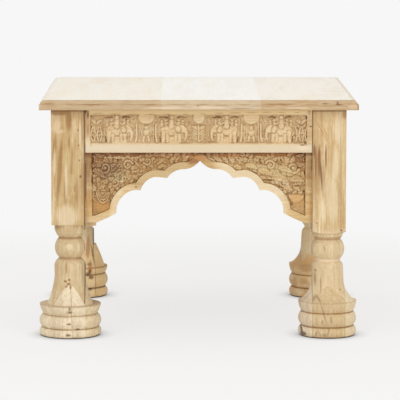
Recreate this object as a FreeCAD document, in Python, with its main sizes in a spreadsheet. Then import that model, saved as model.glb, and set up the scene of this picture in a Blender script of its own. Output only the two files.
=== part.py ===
"""Bajot, a low square table of carved solid wood.

Axes: +X to the right, +Y to the back, +Z up. The origin is on the floor under the middle of the top.
All lengths are millimetres. Each leg is one post from floor to top, turned below its square part, with four
cheeks glued round its foot. Rails and cusped arch panels are tenoned into the posts on all four sides.
"""

import FreeCAD
import Part
import Sketcher
import os

DOC = FreeCAD.newDocument("Bajot")
SHEET = DOC.addObject("Spreadsheet::Sheet", "Sizes")
PIECES = []

# Sizes of the frame, the top, the rails, the arch panels and what holds them together.
TABLE_SIZES = {
    "table_length": 600.0,
    "table_depth": 600.0,
    "table_height": 452.0,
    "top_thickness": 18.2,
    "top_overhang": 21.6,
    "edge_band_height": 10.2,
    "edge_step": 1.6,
    "edge_round_width": 11.4,
    "left_board_width": 229.0,
    "right_board_width": 183.0,
    "dowel_diameter": 8.0,
    "dowel_length": 40.0,
    "post_width": 63.4,
    "rail_height": 82.1,
    "rail_thickness": 22.0,
    "rail_recess": 1.4,
    "rail_end_border": 11.0,
    "rail_lower_border": 16.0,
    "rail_upper_border": 10.4,
    "rail_field_depth": 5.0,
    "rail_tenon_length": 18.0,
    "rail_tenon_thickness": 10.0,
    "rail_tenon_shoulder": 12.0,
    "panel_drop": 134.0,
    "panel_thickness": 15.0,
    "panel_tongue_height": 8.0,
    "panel_tongue_thickness": 7.0,
    "panel_tenon_length": 13.0,
    "panel_tenon_thickness": 7.0,
    "panel_tenon_shoulder": 22.0,
    "panel_border": 13.0,
    "panel_field_depth": 5.5,
    "arch_foot_width": 18.5,
    "arch_rise": 118.0,
    "arch_offset": 2.6,
    "cleat_width": 20.0,
    "cleat_thickness": 22.0,
    "cleat_setback": 10.0,
    "long_cleat_drop": 8.0,
    "batten_width": 45.0,
    "batten_thickness": 18.0,
    "batten_corner_gap": 40.5,
    "batten_end_gap": 0.3,
    "block_length": 90.0,
    "block_width": 22.0,
    "nail_diameter": 2.4,
    "nail_length": 36.0,
    "nail_punch_depth": 1.0,
    "nail_end_distance": 12.0,
    "nail_edge_distance": 14.0,
    "screw_diameter": 4.0,
    "screw_head_diameter": 8.0,
    "screw_head_height": 3.0,
    "screw_length": 29.0,
    "screw_seam_distance": 40.0,
    "screw_end_distance": 28.0,
    "fit_clearance": 0.3,
    "hole_clearance": 0.2,
    "cut_overrun": 2.0,
}

# Turned sizes, from the floor up: three rings, of which the upper one is the lip, then the bell, its shoulder,
# the neck band, the ball, the collar and the square post.
STOUT_LEG = {
    "sole_radius": 49.5,
    "ring_radius": 55.2,
    "lower_ring_height": 19.6,
    "lower_groove_radius": 49.0,
    "middle_ring_height": 27.0,
    "upper_groove_radius": 49.4,
    "lip_height": 20.0,
    "lip_middle_radius": 53.8,
    "lip_top_radius": 55.4,
    "bell_foot_radius": 53.0,
    "bell_height": 40.9,
    "bell_fullness_share": 0.19,
    "waist_radius": 30.8,
    "shoulder_rise": 26.0,
    "shoulder_radius": 29.6,
    "shoulder_round_height": 8.7,
    "neck_radius": 24.0,
    "neck_band_height": 4.4,
    "ball_height": 37.9,
    "ball_radius": 32.0,
    "collar_height": 10.0,
    "collar_radius": 29.4,
    "collar_band_height": 1.5,
    "pommel_height": 17.0,
}
SLIM_LEG = {
    "sole_radius": 54.0,
    "ring_radius": 59.0,
    "lower_ring_height": 16.7,
    "lower_groove_radius": 53.0,
    "middle_ring_height": 25.2,
    "upper_groove_radius": 51.1,
    "lip_height": 18.4,
    "lip_middle_radius": 56.0,
    "lip_top_radius": 58.4,
    "bell_foot_radius": 44.0,
    "bell_height": 55.0,
    "bell_fullness_share": 0.33,
    "waist_radius": 29.5,
    "shoulder_rise": 19.2,
    "shoulder_radius": 30.0,
    "shoulder_round_height": 13.5,
    "neck_radius": 20.8,
    "neck_band_height": 1.0,
    "ball_height": 38.5,
    "ball_radius": 28.8,
    "collar_height": 16.3,
    "collar_radius": 29.4,
    "collar_band_height": 9.7,
    "pommel_height": 0.4,
}
# What the fuller bell of the third pattern has of its own. The rest is as on the stout leg.
FULL_LEG_CHANGES = {
    "middle_ring_height": 28.0,
    "lip_height": 14.6,
    "lip_middle_radius": 53.4,
    "lip_top_radius": 54.6,
    "bell_foot_radius": 49.0,
    "bell_height": 45.3,
    "bell_fullness_share": 0.55,
    "waist_radius": 31.2,
}
FULL_LEG = dict(STOUT_LEG, **FULL_LEG_CHANGES)
LEG_PATTERNS = {"stout": STOUT_LEG, "slim": SLIM_LEG, "full": FULL_LEG}

# How far the turned feet were set off the middle of their square posts, to the right or, below zero, the left.
TURNING_SHIFTS = {
    "front_left_turning_shift": 2.0,
    "front_right_turning_shift": -1.0,
    "back_left_turning_shift": 5.0,
    "back_right_turning_shift": 1.6,
}

# Corner name, side along X, side along Y and turned pattern of each leg.
LEGS = (
    ("front_left", -1, -1, "slim"),
    ("front_right", 1, -1, "stout"),
    ("back_left", -1, 1, "full"),
    ("back_right", 1, 1, "stout"),
)

# Side name, turn about Z in degrees, the size it runs along and the size across it.
SIDES = (
    ("front", 0, "table_length", "table_depth"),
    ("right", 90, "table_depth", "table_length"),
    ("back", 180, "table_length", "table_depth"),
    ("left", 270, "table_depth", "table_length"),
)

# Half of the cusped arch from its apex to its foot. Each row is an arc: a point on it and its end, as shares
# of the half span and of the rise.
ARCH_ARC_SHARES = (
    ((0.056, 0.913), (0.142, 0.863)),
    ((0.249, 0.823), (0.316, 0.718)),
    ((0.366, 0.730), (0.438, 0.737)),
    ((0.514, 0.674), (0.572, 0.521)),
    ((0.616, 0.526), (0.663, 0.514)),
    ((0.753, 0.411), (0.807, 0.152)),
    ((0.916, 0.059), (1.000, 0.000)),
)
# Places of the four dowels of a seam, as shares of the depth of the table.
DOWEL_PLACE_SHARES = (-0.40, -0.14, 0.14, 0.40)
# A point on the round of the top's edge, as shares of the width and of the height of the round.
EDGE_ARC_SHARES = (0.766, 0.357)
# Distances of a fixing block's screws from its middle, as shares of its length.
TOP_SCREW_SHARE = 0.333
RAIL_SCREW_SHARE = 0.125
# Where the fullest point of the lowest ring is, as a share of its height.
RING_FULL_SHARE = 0.45
HALF_SHARE = 0.5
# Points on the round shoulder, the throat under the collar and the pommel, as shares of radius and height.
SHOULDER_ARC_SHARES = (0.72, 0.5)
THROAT_ARC_SHARES = (0.55, 0.4)
POMMEL_ARC_SHARES = (0.4, 0.35)


def size(name):
    """Expression for a value of the sheet."""
    return "Sizes." + name


def value(expression):
    """Number that an expression gives now."""
    return float(SHEET.evalExpression(str(expression)))


def fill_sheet():
    """Writes every named size into the sheet, one row each."""
    rows = dict(TABLE_SIZES, **TURNING_SHIFTS)
    for pattern, sizes in LEG_PATTERNS.items():
        for name, number in sizes.items():
            rows[pattern + "_" + name] = number
    for row, (name, number) in enumerate(rows.items(), start=1):
        SHEET.set("A%d" % row, name)
        SHEET.set("B%d" % row, str(number))
        SHEET.setAlias("B%d" % row, name)
    DOC.recompute()


def span(side, near, far):
    """Limits of a stretch between two distances from the middle, on its negative or positive side."""
    if side > 0:
        return near, far
    return "-(%s)" % far, "-(%s)" % near


def block(name, along_x, along_y, along_z):
    """Box between pairs of limits."""
    box = DOC.addObject("Part::Box", name)
    for length, axis, (low, high) in zip(("Length", "Width", "Height"), "xyz", (along_x, along_y, along_z)):
        box.setExpression(length, "(%s) - (%s)" % (high, low))
        box.setExpression("Placement.Base." + axis, low)
    return box


def join(name, shapes):
    """One solid out of pieces that touch."""
    fuse = DOC.addObject("Part::MultiFuse", name)
    fuse.Shapes = shapes
    fuse.Refine = True
    return fuse


def cut(name, base, tool):
    """What is left of the base outside the tool."""
    left = DOC.addObject("Part::Cut", name)
    left.Base = base
    left.Tool = tool
    return left


def common(name, first, second):
    """What two shapes share."""
    shared = DOC.addObject("Part::Common", name)
    shared.Base = first
    shared.Tool = second
    return shared


def keep(piece, label, turn=0):
    """Names a finished piece of the table and turns it to its side."""
    piece.Label = label
    if turn:
        piece.Placement = FreeCAD.Placement(FreeCAD.Vector(), FreeCAD.Rotation(FreeCAD.Vector(0, 0, 1), turn))
    PIECES.append(piece)
    return piece


class Outline:
    """Closed outline in a sketch, whose points are pairs of expressions bound to the sheet."""

    def __init__(self, sketch, start):
        self.sketch = sketch
        self.start = start
        self.steps = []

    def line_to(self, end):
        self.steps.append((None, end))

    def arc_to(self, through, end):
        self.steps.append((through, end))

    @staticmethod
    def place(point):
        return FreeCAD.Vector(value(point[0]), value(point[1]), 0)

    def bind(self, geometry, vertex, point):
        """Holds a vertex at its two distances from the origin of the sketch."""
        here = self.place(point)
        for kind, axis, distance in (("DistanceX", 0, here.x), ("DistanceY", 1, here.y)):
            index = self.sketch.addConstraint(Sketcher.Constraint(kind, -1, 1, geometry, vertex, distance))
            self.sketch.setExpression("Constraints[%d]" % index, point[axis])

    def draw(self):
        """Draws every step, ties it to the one before it and binds its points."""
        before = self.start
        drawn = []
        for through, end in self.steps:
            first, last = self.place(before), self.place(end)
            start_vertex, end_vertex = 1, 2
            if through is None:
                geometry = self.sketch.addGeometry(Part.LineSegment(first, last))
            else:
                middle = self.place(through)
                if (middle - first).cross(last - middle).z < 0:
                    first, last = last, first
                    start_vertex, end_vertex = 2, 1
                geometry = self.sketch.addGeometry(Part.Arc(first, middle, last))
                mark = self.sketch.addGeometry(Part.Point(middle), True)
                self.bind(mark, 1, through)
                self.sketch.addConstraint(Sketcher.Constraint("PointOnObject", mark, 1, geometry))
            drawn.append((geometry, start_vertex, end_vertex))
            self.bind(geometry, end_vertex, end)
            before = end
        for (last, _, end_vertex), (following, start_vertex, _) in zip(drawn, drawn[1:] + drawn[:1]):
            self.sketch.addConstraint(Sketcher.Constraint("Coincident", last, end_vertex, following, start_vertex))


def sketch_in(body, name, role):
    """Sketch on one of the origin planes of a body."""
    sketch = body.newObject("Sketcher::SketchObject", name)
    plane = next(feature for feature in body.Origin.OriginFeatures if feature.Role == role)
    sketch.AttachmentSupport = (plane, "")
    sketch.MapMode = "FlatFace"
    DOC.recompute()
    return sketch


def padded(name, role, outline_maker, length):
    """Body made by padding an outline both ways from an origin plane."""
    body = DOC.addObject("PartDesign::Body", name)
    sketch = sketch_in(body, name + "_outline", role)
    outline_maker(sketch).draw()
    pad = body.newObject("PartDesign::Pad", name + "_pad")
    pad.Profile = sketch
    pad.Midplane = True
    pad.setExpression("Length", length)
    return body


# Heights and distances that several pieces share.
UNDERSIDE = "(%s - %s)" % (size("table_height"), size("top_thickness"))
RAIL_BOTTOM = "(%s - %s)" % (UNDERSIDE, size("rail_height"))
PANEL_BOTTOM = "(%s - %s)" % (RAIL_BOTTOM, size("panel_drop"))
RAIL_BACK_DEPTH = "(%s + %s)" % (size("rail_recess"), size("rail_thickness"))
PANEL_RECESS = "(%s - %s)" % (RAIL_BACK_DEPTH, size("panel_thickness"))
HALF_POST = "(%s / 2)" % size("post_width")
LEFT_SEAM = "(%s - %s / 2)" % (size("left_board_width"), size("table_length"))
RIGHT_SEAM = "(%s / 2 - %s)" % (size("table_length"), size("right_board_width"))


def post_face(across):
    """Distance from the middle of the table to the outer faces of the posts."""
    return "(%s / 2 - %s)" % (size(across), size("top_overhang"))


def post_inside(along):
    """Distance from the middle of the table to the inner faces of the posts."""
    return "(%s - %s)" % (post_face(along), size("post_width"))


def tenon_limits(part, grow=0):
    """Depth of the middle of a rail's or panel's tenon below the post face, with its half thickness, length
    and heights, grown for a mortise."""
    half = "%s / 2 + %s" % (size(part + "_tenon_thickness"), grow)
    length = "%s + %s" % (size(part + "_tenon_length"), grow)
    if part == "rail":
        middle = "(%s + %s / 2)" % (size("rail_recess"), size("rail_thickness"))
        low = "%s + %s - (%s)" % (RAIL_BOTTOM, size("rail_tenon_shoulder"), grow)
        high = "%s - %s + (%s)" % (UNDERSIDE, size("rail_tenon_shoulder"), grow)
    else:
        middle = "(%s + %s / 2)" % (PANEL_RECESS, size("panel_thickness"))
        low = "%s + %s - (%s)" % (PANEL_BOTTOM, size("panel_tenon_shoulder"), grow)
        high = "%s - %s + (%s)" % (RAIL_BOTTOM, size("panel_tenon_shoulder"), grow)
    return middle, half, length, low, high


def tenons(name, part, along, across):
    """Tenon at each end of a rail or a panel of the front side."""
    middle, half, length, low, high = tenon_limits(part)
    inside = post_inside(along)
    y_middle = "(%s - %s)" % (middle, post_face(across))
    y_limits = ("%s - (%s)" % (y_middle, half), "%s + %s" % (y_middle, half))
    made = []
    for end, side in (("left", -1), ("right", 1)):
        x_limits = span(side, inside, "%s + %s" % (inside, length))
        made.append(block("%s_tenon_%s" % (name, end), x_limits, y_limits, (low, high)))
    return made


def top_outline(sketch, width):
    """Cross-section of the moulded top: a band, a small step and a quarter round at both edges."""
    half = "(%s / 2)" % size(width)
    band_top = "%s + %s" % (UNDERSIDE, size("edge_band_height"))
    step = "%s - %s" % (half, size("edge_step"))
    flat = "%s - %s - %s" % (half, size("edge_step"), size("edge_round_width"))
    round_height = "(%s - %s)" % (size("top_thickness"), size("edge_band_height"))
    round_x = "%s + %s * %s" % (flat, size("edge_round_width"), EDGE_ARC_SHARES[0])
    round_z = "%s - %s * %s" % (size("table_height"), round_height, EDGE_ARC_SHARES[1])
    outline = Outline(sketch, ("-(%s)" % half, UNDERSIDE))
    outline.line_to((half, UNDERSIDE))
    outline.line_to((half, band_top))
    outline.line_to((step, band_top))
    outline.arc_to((round_x, round_z), (flat, size("table_height")))
    outline.line_to(("-(%s)" % flat, size("table_height")))
    outline.arc_to(("-(%s)" % round_x, round_z), ("-(%s)" % step, band_top))
    outline.line_to(("-(%s)" % half, band_top))
    outline.line_to(("-(%s)" % half, UNDERSIDE))
    return outline


def fastener(profile, place, direction):
    """Solid turned from a half profile of (radius, depth) points, set at a place and pointing a way."""
    points = [FreeCAD.Vector(radius, 0, -depth) for radius, depth in profile]
    solid = Part.Face(Part.makePolygon(points + points[:1])).revolve(
        FreeCAD.Vector(), FreeCAD.Vector(0, 0, 1), 360)
    turn = FreeCAD.Rotation(FreeCAD.Vector(0, 0, -1), direction)
    solid.Placement = FreeCAD.Placement(place, turn)
    return solid


def pin_profile(diameter, length, grow=0.0):
    """Half profile of a plain round pin, such as a nail or a dowel, with its head end at depth zero."""
    radius = value(size(diameter)) / 2 + grow
    depth = value(size(length)) + grow
    return (0, -grow), (radius, -grow), (radius, depth), (0, depth)


def screw_profile(grow=0.0):
    """Half profile of a countersunk wood screw with its head at depth zero."""
    shank = value(size("screw_diameter")) / 2 + grow
    head = value(size("screw_head_diameter")) / 2 + grow
    head_depth = value(size("screw_head_height"))
    depth = value(size("screw_length")) + grow
    return (0, 0), (head, 0), (shank, head_depth), (shank, depth), (0, depth)


def fasteners(name, profile, places):
    """Group of like fasteners, each a separate solid."""
    group = DOC.addObject("Part::Feature", name)
    group.Shape = Part.makeCompound([fastener(profile, place, direction) for place, direction in places])
    return group


def seam_dowels(side):
    """Places of the dowels that cross a seam of the top."""
    seam = value(LEFT_SEAM if side == "left" else RIGHT_SEAM)
    start = seam - value(size("dowel_length")) / 2
    height = value("%s - %s / 2" % (size("table_height"), size("top_thickness")))
    depth = value(size("table_depth"))
    right = FreeCAD.Vector(1, 0, 0)
    return [(FreeCAD.Vector(start, share * depth, height), right) for share in DOWEL_PLACE_SHARES]


def batten_limits():
    """Half length of the battens, and how far from the middle their middles are, clear of the corner cleats."""
    reach = "%s - %s - %s" % (post_face("table_length"), RAIL_BACK_DEPTH, size("batten_end_gap"))
    corner = "%s + %s" % (size("cleat_width"), size("batten_corner_gap"))
    middle = "(%s - (%s) - %s / 2)" % (post_inside("table_depth"), corner, size("batten_width"))
    return reach, middle


def batten_screws():
    """Places of the screws that go up through the battens into the three boards."""
    reach, middle = batten_limits()
    offset = value(size("screw_seam_distance"))
    end = value(reach) - value(size("screw_end_distance"))
    half_spacing = value(middle)
    seams = value(LEFT_SEAM), value(RIGHT_SEAM)
    height = value("%s - %s" % (UNDERSIDE, size("batten_thickness")))
    along = [-end] + [seam + side * offset for seam in seams for side in (-1, 1)] + [end]
    up = FreeCAD.Vector(0, 0, 1)
    return [(FreeCAD.Vector(x, y, height), up) for y in (-half_spacing, half_spacing) for x in along]


def block_screws(across):
    """Places, on the front side, of a fixing block's two screws up into the top and two into the rail."""
    width = value(size("block_width"))
    length = value(size("block_length"))
    back = value("%s - %s" % (RAIL_BACK_DEPTH, post_face(across)))
    height = value(UNDERSIDE)
    made = []
    for side in (-1, 1):
        upright = FreeCAD.Vector(side * length * TOP_SCREW_SHARE, back + width / 2, height - width)
        level = FreeCAD.Vector(side * length * RAIL_SCREW_SHARE, back + width, height - width / 2)
        made.append((upright, FreeCAD.Vector(0, 0, 1)))
        made.append((level, FreeCAD.Vector(0, -1, 0)))
    return made


def rail_nails(along, across):
    """Places, on the front side, of the nails that go through the rail's ends into the cleats."""
    face = value("%s - %s" % (size("rail_recess"), post_face(across))) + value(size("nail_punch_depth"))
    end = value(post_inside(along)) - value(size("nail_end_distance"))
    edge = value(size("nail_edge_distance"))
    heights = value(RAIL_BOTTOM) + edge, value(UNDERSIDE) - edge
    inward = FreeCAD.Vector(0, 1, 0)
    return [(FreeCAD.Vector(x, face, z), inward) for x in (-end, end) for z in heights]


def turned(places, turn):
    """Places of one side's fasteners turned about Z to that side."""
    rotation = FreeCAD.Rotation(FreeCAD.Vector(0, 0, 1), turn)
    return [(rotation.multVec(place), rotation.multVec(direction)) for place, direction in places]


def make_top():
    """Three boards with dowelled seams, cut out of one moulded blank."""
    length_way = padded("blank_along", "XZ_Plane", lambda sketch: top_outline(sketch, "table_length"),
                        size("table_depth"))
    depth_way = padded("blank_across", "YZ_Plane", lambda sketch: top_outline(sketch, "table_depth"),
                       size("table_length"))
    blank = common("top_blank", length_way, depth_way)
    grow = value(size("hole_clearance"))
    holes = [fasteners("batten_screw_holes", screw_profile(grow), batten_screws())]
    for name, turn, _, across in SIDES:
        upright = [place for place in block_screws(across) if place[1].z > 0]
        holes.append(fasteners(name + "_block_top_holes", screw_profile(grow), turned(upright, turn)))
    for side in ("left", "right"):
        group = fasteners(side + "_seam_dowels", pin_profile("dowel_diameter", "dowel_length"), seam_dowels(side))
        keep(group, side + "_seam_dowels")
        holes.append(fasteners(side + "_dowel_holes", pin_profile("dowel_diameter", "dowel_length", grow),
                               seam_dowels(side)))
    drilled = cut("drilled_blank", blank, join("top_holes", holes))
    half = "%s / 2" % size("table_length")
    boards = (
        ("top_board_left", "-(%s)" % half, LEFT_SEAM),
        ("top_board_centre", LEFT_SEAM, RIGHT_SEAM),
        ("top_board_right", RIGHT_SEAM, half),
    )
    for name, low, high in boards:
        depth = "%s / 2" % size("table_depth")
        region = block(name + "_region", (low, high), ("-(%s)" % depth, depth), (UNDERSIDE, size("table_height")))
        keep(common(name, drilled, region), name)


def make_battens():
    """Battens screwed up under the boards from side rail to side rail."""
    reach, middle = batten_limits()
    half = "%s / 2" % size("batten_width")
    holes = fasteners("batten_holes", screw_profile(value(size("hole_clearance"))), batten_screws())
    for name, side in (("front", -1), ("back", 1)):
        bar = block(name + "_bar", ("-(%s)" % reach, reach),
                    span(side, "%s - %s" % (middle, half), "%s + %s" % (middle, half)),
                    ("%s - %s" % (UNDERSIDE, size("batten_thickness")), UNDERSIDE))
        keep(cut(name + "_batten", bar, holes), name + "_batten")
    keep(fasteners("batten_screws", screw_profile(), batten_screws()), "batten_screws")


def arch_outline(sketch, along, raised=0):
    """Outline of an arch panel: a board between two posts with a cusped arch cut out of its lower edge."""
    inside = post_inside(along)
    foot = "(%s - %s)" % (inside, size("arch_foot_width"))
    top = "%s + %s" % (RAIL_BOTTOM, raised)

    def arch_point(side, shares):
        along_x = "%s + %d * %s * %s" % (size("arch_offset"), side, foot, shares[0])
        return along_x, "%s + %s * %s" % (PANEL_BOTTOM, size("arch_rise"), shares[1])

    outline = Outline(sketch, ("-(%s)" % inside, PANEL_BOTTOM))
    outline.line_to(arch_point(-1, (1.0, 0.0)))
    starts = ((0.0, 1.0),) + tuple(end for _, end in ARCH_ARC_SHARES[:-1])
    for (through, _), start in reversed(tuple(zip(ARCH_ARC_SHARES, starts))):
        outline.arc_to(arch_point(-1, through), arch_point(-1, start))
    for through, end in ARCH_ARC_SHARES:
        outline.arc_to(arch_point(1, through), arch_point(1, end))
    outline.line_to((inside, PANEL_BOTTOM))
    outline.line_to((inside, top))
    outline.line_to(("-(%s)" % inside, top))
    outline.line_to(("-(%s)" % inside, PANEL_BOTTOM))
    return outline


def make_side(name, turn, along, across):
    """Rail, arch panel, cleats, fixing block and their fasteners, made as the front side and then turned."""
    face = "-(%s)" % post_face(across)
    inside = post_inside(along)
    clearance = size("fit_clearance")
    grow = value(size("hole_clearance"))
    back = "%s + %s" % (face, RAIL_BACK_DEPTH)
    panel_middle = "%s + %s + %s / 2" % (face, PANEL_RECESS, size("panel_thickness"))
    nails = rail_nails(along, across)
    screws = block_screws(across)
    nail_holes = fasteners(name + "_nail_holes", pin_profile("nail_diameter", "nail_length", grow), nails)
    punched = fasteners(name + "_nail_marks", pin_profile("nail_diameter", "nail_punch_depth", grow),
                        [(place, -direction) for place, direction in nails])
    screw_holes = fasteners(name + "_screw_holes", screw_profile(grow), screws)

    # Rail with a sunk field for the carved frieze and a groove underneath for the panel's tongue.
    bar = block(name + "_bar", ("-" + inside, inside), ("%s + %s" % (face, size("rail_recess")), back),
                (RAIL_BOTTOM, UNDERSIDE))
    solid = join(name + "_rail_solid", [bar] + tenons(name + "_rail", "rail", along, across))
    field_end = "%s - %s" % (inside, size("rail_end_border"))
    field = block(name + "_rail_field", ("-(%s)" % field_end, field_end),
                  (face, "%s + %s + %s" % (face, size("rail_recess"), size("rail_field_depth"))),
                  ("%s + %s" % (RAIL_BOTTOM, size("rail_lower_border")),
                   "%s - %s" % (UNDERSIDE, size("rail_upper_border"))))
    tongue_half = "%s / 2" % size("panel_tongue_thickness")
    groove = block(name + "_groove", ("-" + inside, inside),
                   ("%s - %s - %s" % (panel_middle, tongue_half, clearance),
                    "%s + %s + %s" % (panel_middle, tongue_half, clearance)),
                   (RAIL_BOTTOM, "%s + %s + %s" % (RAIL_BOTTOM, size("panel_tongue_height"), clearance)))
    tools = join(name + "_rail_tools", [field, groove, nail_holes, punched, screw_holes])
    keep(cut(name + "_rail", solid, tools), name + "_frieze_rail", turn)

    # Arch panel with a raised border along the arch, a tongue on top and a tenon at each end.
    board = DOC.addObject("Part::Extrusion", name + "_board")
    outline_sketch = flat_sketch(name + "_arch", face, lambda sketch: arch_outline(sketch, along))
    board.Base = outline_sketch
    extrude_inward(board, size("panel_thickness"))
    tongue = block(name + "_tongue", ("-" + inside, inside),
                   ("%s - %s" % (panel_middle, tongue_half), "%s + %s" % (panel_middle, tongue_half)),
                   (RAIL_BOTTOM, "%s + %s" % (RAIL_BOTTOM, size("panel_tongue_height"))))
    panel = join(name + "_panel_solid", [board, tongue] + tenons(name + "_panel", "panel", along, across))
    field_sketch = flat_sketch(name + "_field", face,
                               lambda sketch: arch_outline(sketch, along, size("panel_border")))
    field_outline = DOC.addObject("Part::Offset2D", name + "_field_outline")
    field_outline.Source = field_sketch
    field_outline.setExpression("Value", "-" + size("panel_border"))
    carved = DOC.addObject("Part::Extrusion", name + "_carved_field")
    carved.Base = field_outline
    extrude_inward(carved, size("panel_field_depth"))
    keep(cut(name + "_panel", panel, carved), name + "_arch_panel", turn)

    # Cleats behind both ends of the rail and the panel, in the corners beside the posts.
    for end, side in (("left", -1), ("right", 1)):
        low = "%s + %s" % (PANEL_BOTTOM, size("cleat_setback"))
        if name == "front" and end == "left":
            low = "%s - %s" % (PANEL_BOTTOM, size("long_cleat_drop"))
        stick = block("%s_stick_%s" % (name, end), span(side, "%s - %s" % (inside, size("cleat_width")), inside),
                      (back, "%s + %s" % (back, size("cleat_thickness"))), (low, UNDERSIDE))
        keep(cut("%s_cleat_%s" % (name, end), stick, nail_holes), "%s_cleat_%s" % (name, end), turn)

    # Fixing block at the middle of the rail, screwed to the rail and to the underside of the top.
    half_block = "%s / 2" % size("block_length")
    cube = block(name + "_cube", ("-" + half_block, half_block), (back, "%s + %s" % (back, size("block_width"))),
                 ("%s - %s" % (UNDERSIDE, size("block_width")), UNDERSIDE))
    keep(cut(name + "_block", cube, screw_holes), name + "_fixing_block", turn)
    pins = fasteners(name + "_nails", pin_profile("nail_diameter", "nail_length"), nails)
    keep(pins, name + "_rail_nails", turn)


def flat_sketch(name, face, outline_maker):
    """Upright sketch in the front plane of the arch panel."""
    sketch = DOC.addObject("Sketcher::SketchObject", name)
    sketch.Placement = FreeCAD.Placement(FreeCAD.Vector(), FreeCAD.Rotation(FreeCAD.Vector(1, 0, 0), 90))
    sketch.setExpression("Placement.Base.y", "%s + %s" % (face, PANEL_RECESS))
    outline_maker(sketch).draw()
    return sketch


def extrude_inward(extrusion, length):
    """Sets an upright extrusion towards the middle of the table."""
    extrusion.DirMode = "Custom"
    extrusion.Dir = FreeCAD.Vector(0, 1, 0)
    extrusion.Solid = True
    extrusion.setExpression("LengthFwd", length)


def make_block_screws():
    """Screws of all four fixing blocks, as one group."""
    places = []
    for _, turn, _, across in SIDES:
        places += turned(block_screws(across), turn)
    keep(fasteners("block_screws", screw_profile(), places), "fixing_block_screws")


def leg_outline(sketch, pattern):
    """Half profile of a turned leg, from the floor to the top of its square post."""

    def turning(name):
        return size(pattern + "_" + name)

    def between(low, high, share):
        return "%s + (%s - %s) * %s" % (low, high, low, share)

    heights = ["0"]
    for name in ("lower_ring_height", "middle_ring_height", "lip_height", "bell_height", "shoulder_rise",
                 "shoulder_round_height", "neck_band_height", "ball_height", "collar_height", "collar_band_height",
                 "pommel_height"):
        heights.append("(%s + %s)" % (heights[-1], turning(name)))
    groove_low, groove_high, ledge, waist, shoulder, neck, band, throat, collar, square, pommel = heights[1:]
    ring, lip = turning("ring_radius"), turning("lip_middle_radius")
    lip_top, bell_foot = turning("lip_top_radius"), turning("bell_foot_radius")
    waist_radius, shoulder_radius = turning("waist_radius"), turning("shoulder_radius")
    neck_radius, ball, collar_radius = turning("neck_radius"), turning("ball_radius"), turning("collar_radius")
    outer = size("post_width")
    bell_through = between(waist_radius, bell_foot, turning("bell_fullness_share"))

    def arc_point(low, high, bottom, top, shares):
        return between(low, high, shares[0]), between(bottom, top, shares[1])

    outline = Outline(sketch, ("0", "0"))
    outline.line_to((turning("sole_radius"), "0"))
    outline.arc_to((ring, between("0", groove_low, RING_FULL_SHARE)),
                   (turning("lower_groove_radius"), groove_low))
    outline.arc_to((ring, between(groove_low, groove_high, HALF_SHARE)),
                   (turning("upper_groove_radius"), groove_high))
    outline.arc_to((lip, between(groove_high, ledge, HALF_SHARE)), (lip_top, ledge))
    outline.line_to((bell_foot, ledge))
    outline.arc_to((bell_through, between(ledge, waist, HALF_SHARE)), (waist_radius, waist))
    outline.line_to((shoulder_radius, shoulder))
    outline.arc_to(arc_point(neck_radius, shoulder_radius, shoulder, neck, SHOULDER_ARC_SHARES),
                   (neck_radius, neck))
    outline.line_to((neck_radius, band))
    outline.arc_to((ball, between(band, throat, HALF_SHARE)), (neck_radius, throat))
    outline.arc_to(arc_point(neck_radius, collar_radius, throat, collar, THROAT_ARC_SHARES),
                   (collar_radius, collar))
    outline.line_to((collar_radius, square))
    outline.arc_to(arc_point(collar_radius, outer, square, pommel, POMMEL_ARC_SHARES), (outer, pommel))
    outline.line_to((outer, UNDERSIDE))
    outline.line_to(("0", UNDERSIDE))
    outline.line_to(("0", "0"))
    return outline


def mortises(name, side_x, side_y):
    """Mortises for two rails and two panels in the inner faces of a post."""
    made = []
    for part in ("rail", "panel"):
        middle, half, length, low, high = tenon_limits(part, size("fit_clearance"))
        depth = "(%s - %s)" % (HALF_POST, middle)
        inward = ("%s - (%s)" % (HALF_POST, length), HALF_POST)
        across = ("%s - (%s)" % (depth, half), "%s + %s" % (depth, half))
        made.append(block("%s_%s_mortise_x" % (name, part), span(-side_x, *inward), span(side_y, *across),
                          (low, high)))
        made.append(block("%s_%s_mortise_y" % (name, part), span(side_x, *across), span(-side_y, *inward),
                          (low, high)))
    return made


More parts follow.
